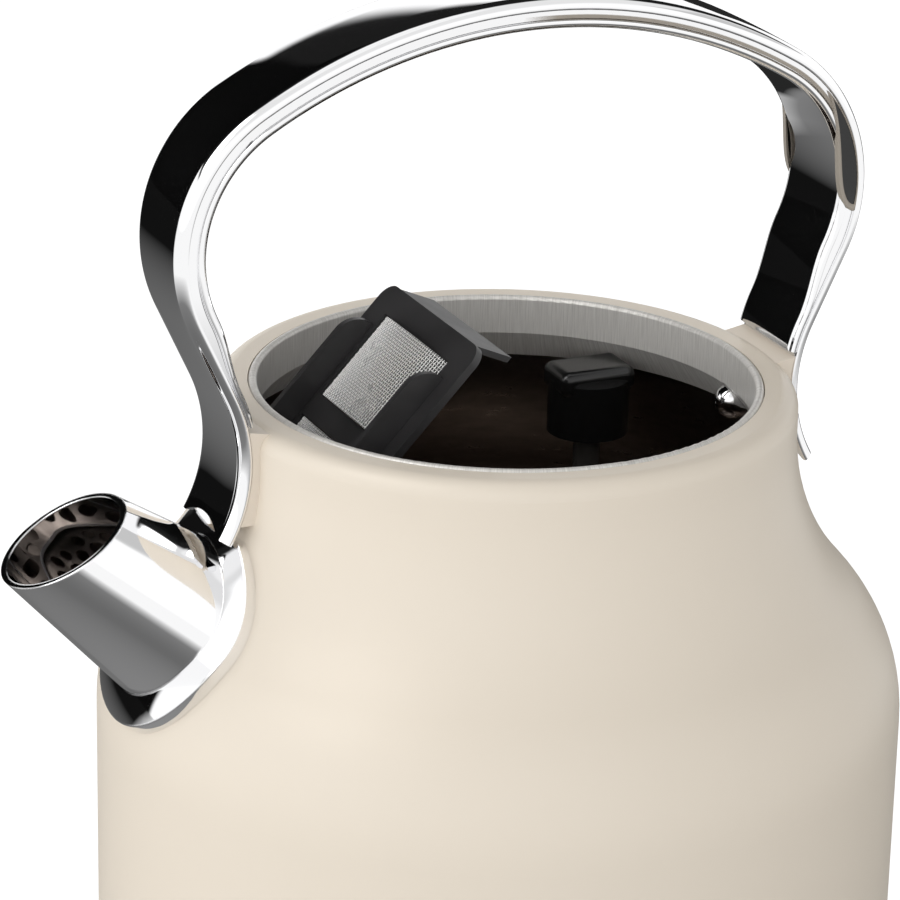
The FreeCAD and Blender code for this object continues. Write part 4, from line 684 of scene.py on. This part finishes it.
def studio_light():
    """White to the eye; soft light from the spout side; and for polished parts a room with
    a pale wall, a bright card and dark cards to mirror."""
    world = bpy.data.worlds.new("studio")
    bpy.context.scene.world = world
    world.use_nodes = True
    tree = world.node_tree
    tree.nodes.clear()
    output = tree.nodes.new("ShaderNodeOutputWorld")
    place = tree.nodes.new("ShaderNodeTexCoord")
    split = add_node(tree, "ShaderNodeSeparateXYZ", Vector=place.outputs["Generated"])
    bearing = add_node(tree, "ShaderNodeMath", "DEGREES", _0=bearing_of(tree, split)).outputs[0]
    rise = add_node(tree, "ShaderNodeMath", "ARCSINE", _0=split.outputs["Z"])
    rise = add_node(tree, "ShaderNodeMath", "DEGREES", _0=rise.outputs[0]).outputs[0]

    def ramp(value, start, end):
        made = add_node(tree, "ShaderNodeMapRange", Value=value, From_Min=start, From_Max=end)
        made.interpolation_type = "SMOOTHSTEP"
        return made.outputs[0]

    def between(value, low, high, soft):
        return times(tree, ramp(value, low - soft, low + soft),
                     ramp(value, high + soft, high - soft))

    def card(left, right, low, high, soft):
        return times(tree, between(bearing, left, right, soft), between(rise, low, high, soft))

    front = ramp(split.outputs["Y"], 0.25, 0.05)
    dark_above, pale = 0.012, 1.1
    room = mixed(tree, ramp(rise, 25.5, 22.5), dark_above, pale)
    room = mixed(tree, front, room, pale)
    room = mixed(tree, times(tree, front, ramp(rise, 30.0, 48.0)), room, 0.85)
    for left, right, low, high, soft, value in (
            (86.0, 124.0, 28.0, 42.0, 2.0, 0.6), (-118.0, -68.0, 30.0, 62.0, 5.0, 4.0),
            (-47.0, 2.0, -60.0, 60.0, 1.0, 0.003), (-180.0, 180.0, 72.0, 95.0, 3.0, 1.0)):
        room = mixed(tree, card(left, right, low, high, soft), room, value)
    light = mixed(tree, ramp(split.outputs["X"], 0.8, -1.0), 0.70, 2.1)
    light = times(tree, light, mixed(tree, ramp(rise, 5.0, 50.0), 1.0, 0.46))
    path = tree.nodes.new("ShaderNodeLightPath")
    shown = mixed(tree, path.outputs["Is Glossy Ray"], light, room)
    shown = mixed(tree, path.outputs["Is Camera Ray"], shown, 1.0)
    sky = add_node(tree, "ShaderNodeBackground", Color=(1, 1, 1, 1), Strength=shown)
    link(tree, sky.outputs[0], output.inputs[0])


def view_from_front_left():
    """Camera 21 degrees above the horizon, 25 degrees to the spout side of the front."""
    turn, lift, roll = (math.radians(angle) for angle in (-25.0, 21.03, 1.26))
    distance, aim = 0.950, Vector((-11.06, 5.16, 154.63)) * MM
    back = Vector((math.sin(turn) * math.cos(lift), -math.cos(turn) * math.cos(lift),
                   math.sin(lift)))
    right = Vector((math.cos(turn), math.sin(turn), 0))
    up = back.cross(right)
    side = right * math.cos(roll) + up * math.sin(roll)
    top = up * math.cos(roll) - right * math.sin(roll)
    data = bpy.data.cameras.new("view")
    data.sensor_width = 36.0
    data.lens = 168.88
    data.clip_start, data.clip_end = 0.02, 50.0
    camera = bpy.data.objects.new("view", data)
    bpy.context.scene.collection.objects.link(camera)
    turned = Matrix((side, top, back)).transposed().to_4x4()
    camera.matrix_world = Matrix.Translation(aim + back * distance) @ turned
    bpy.context.scene.camera = camera


studio_floor()
studio_light()
view_from_front_left()
bpy.context.scene.view_settings.view_transform = "Standard"
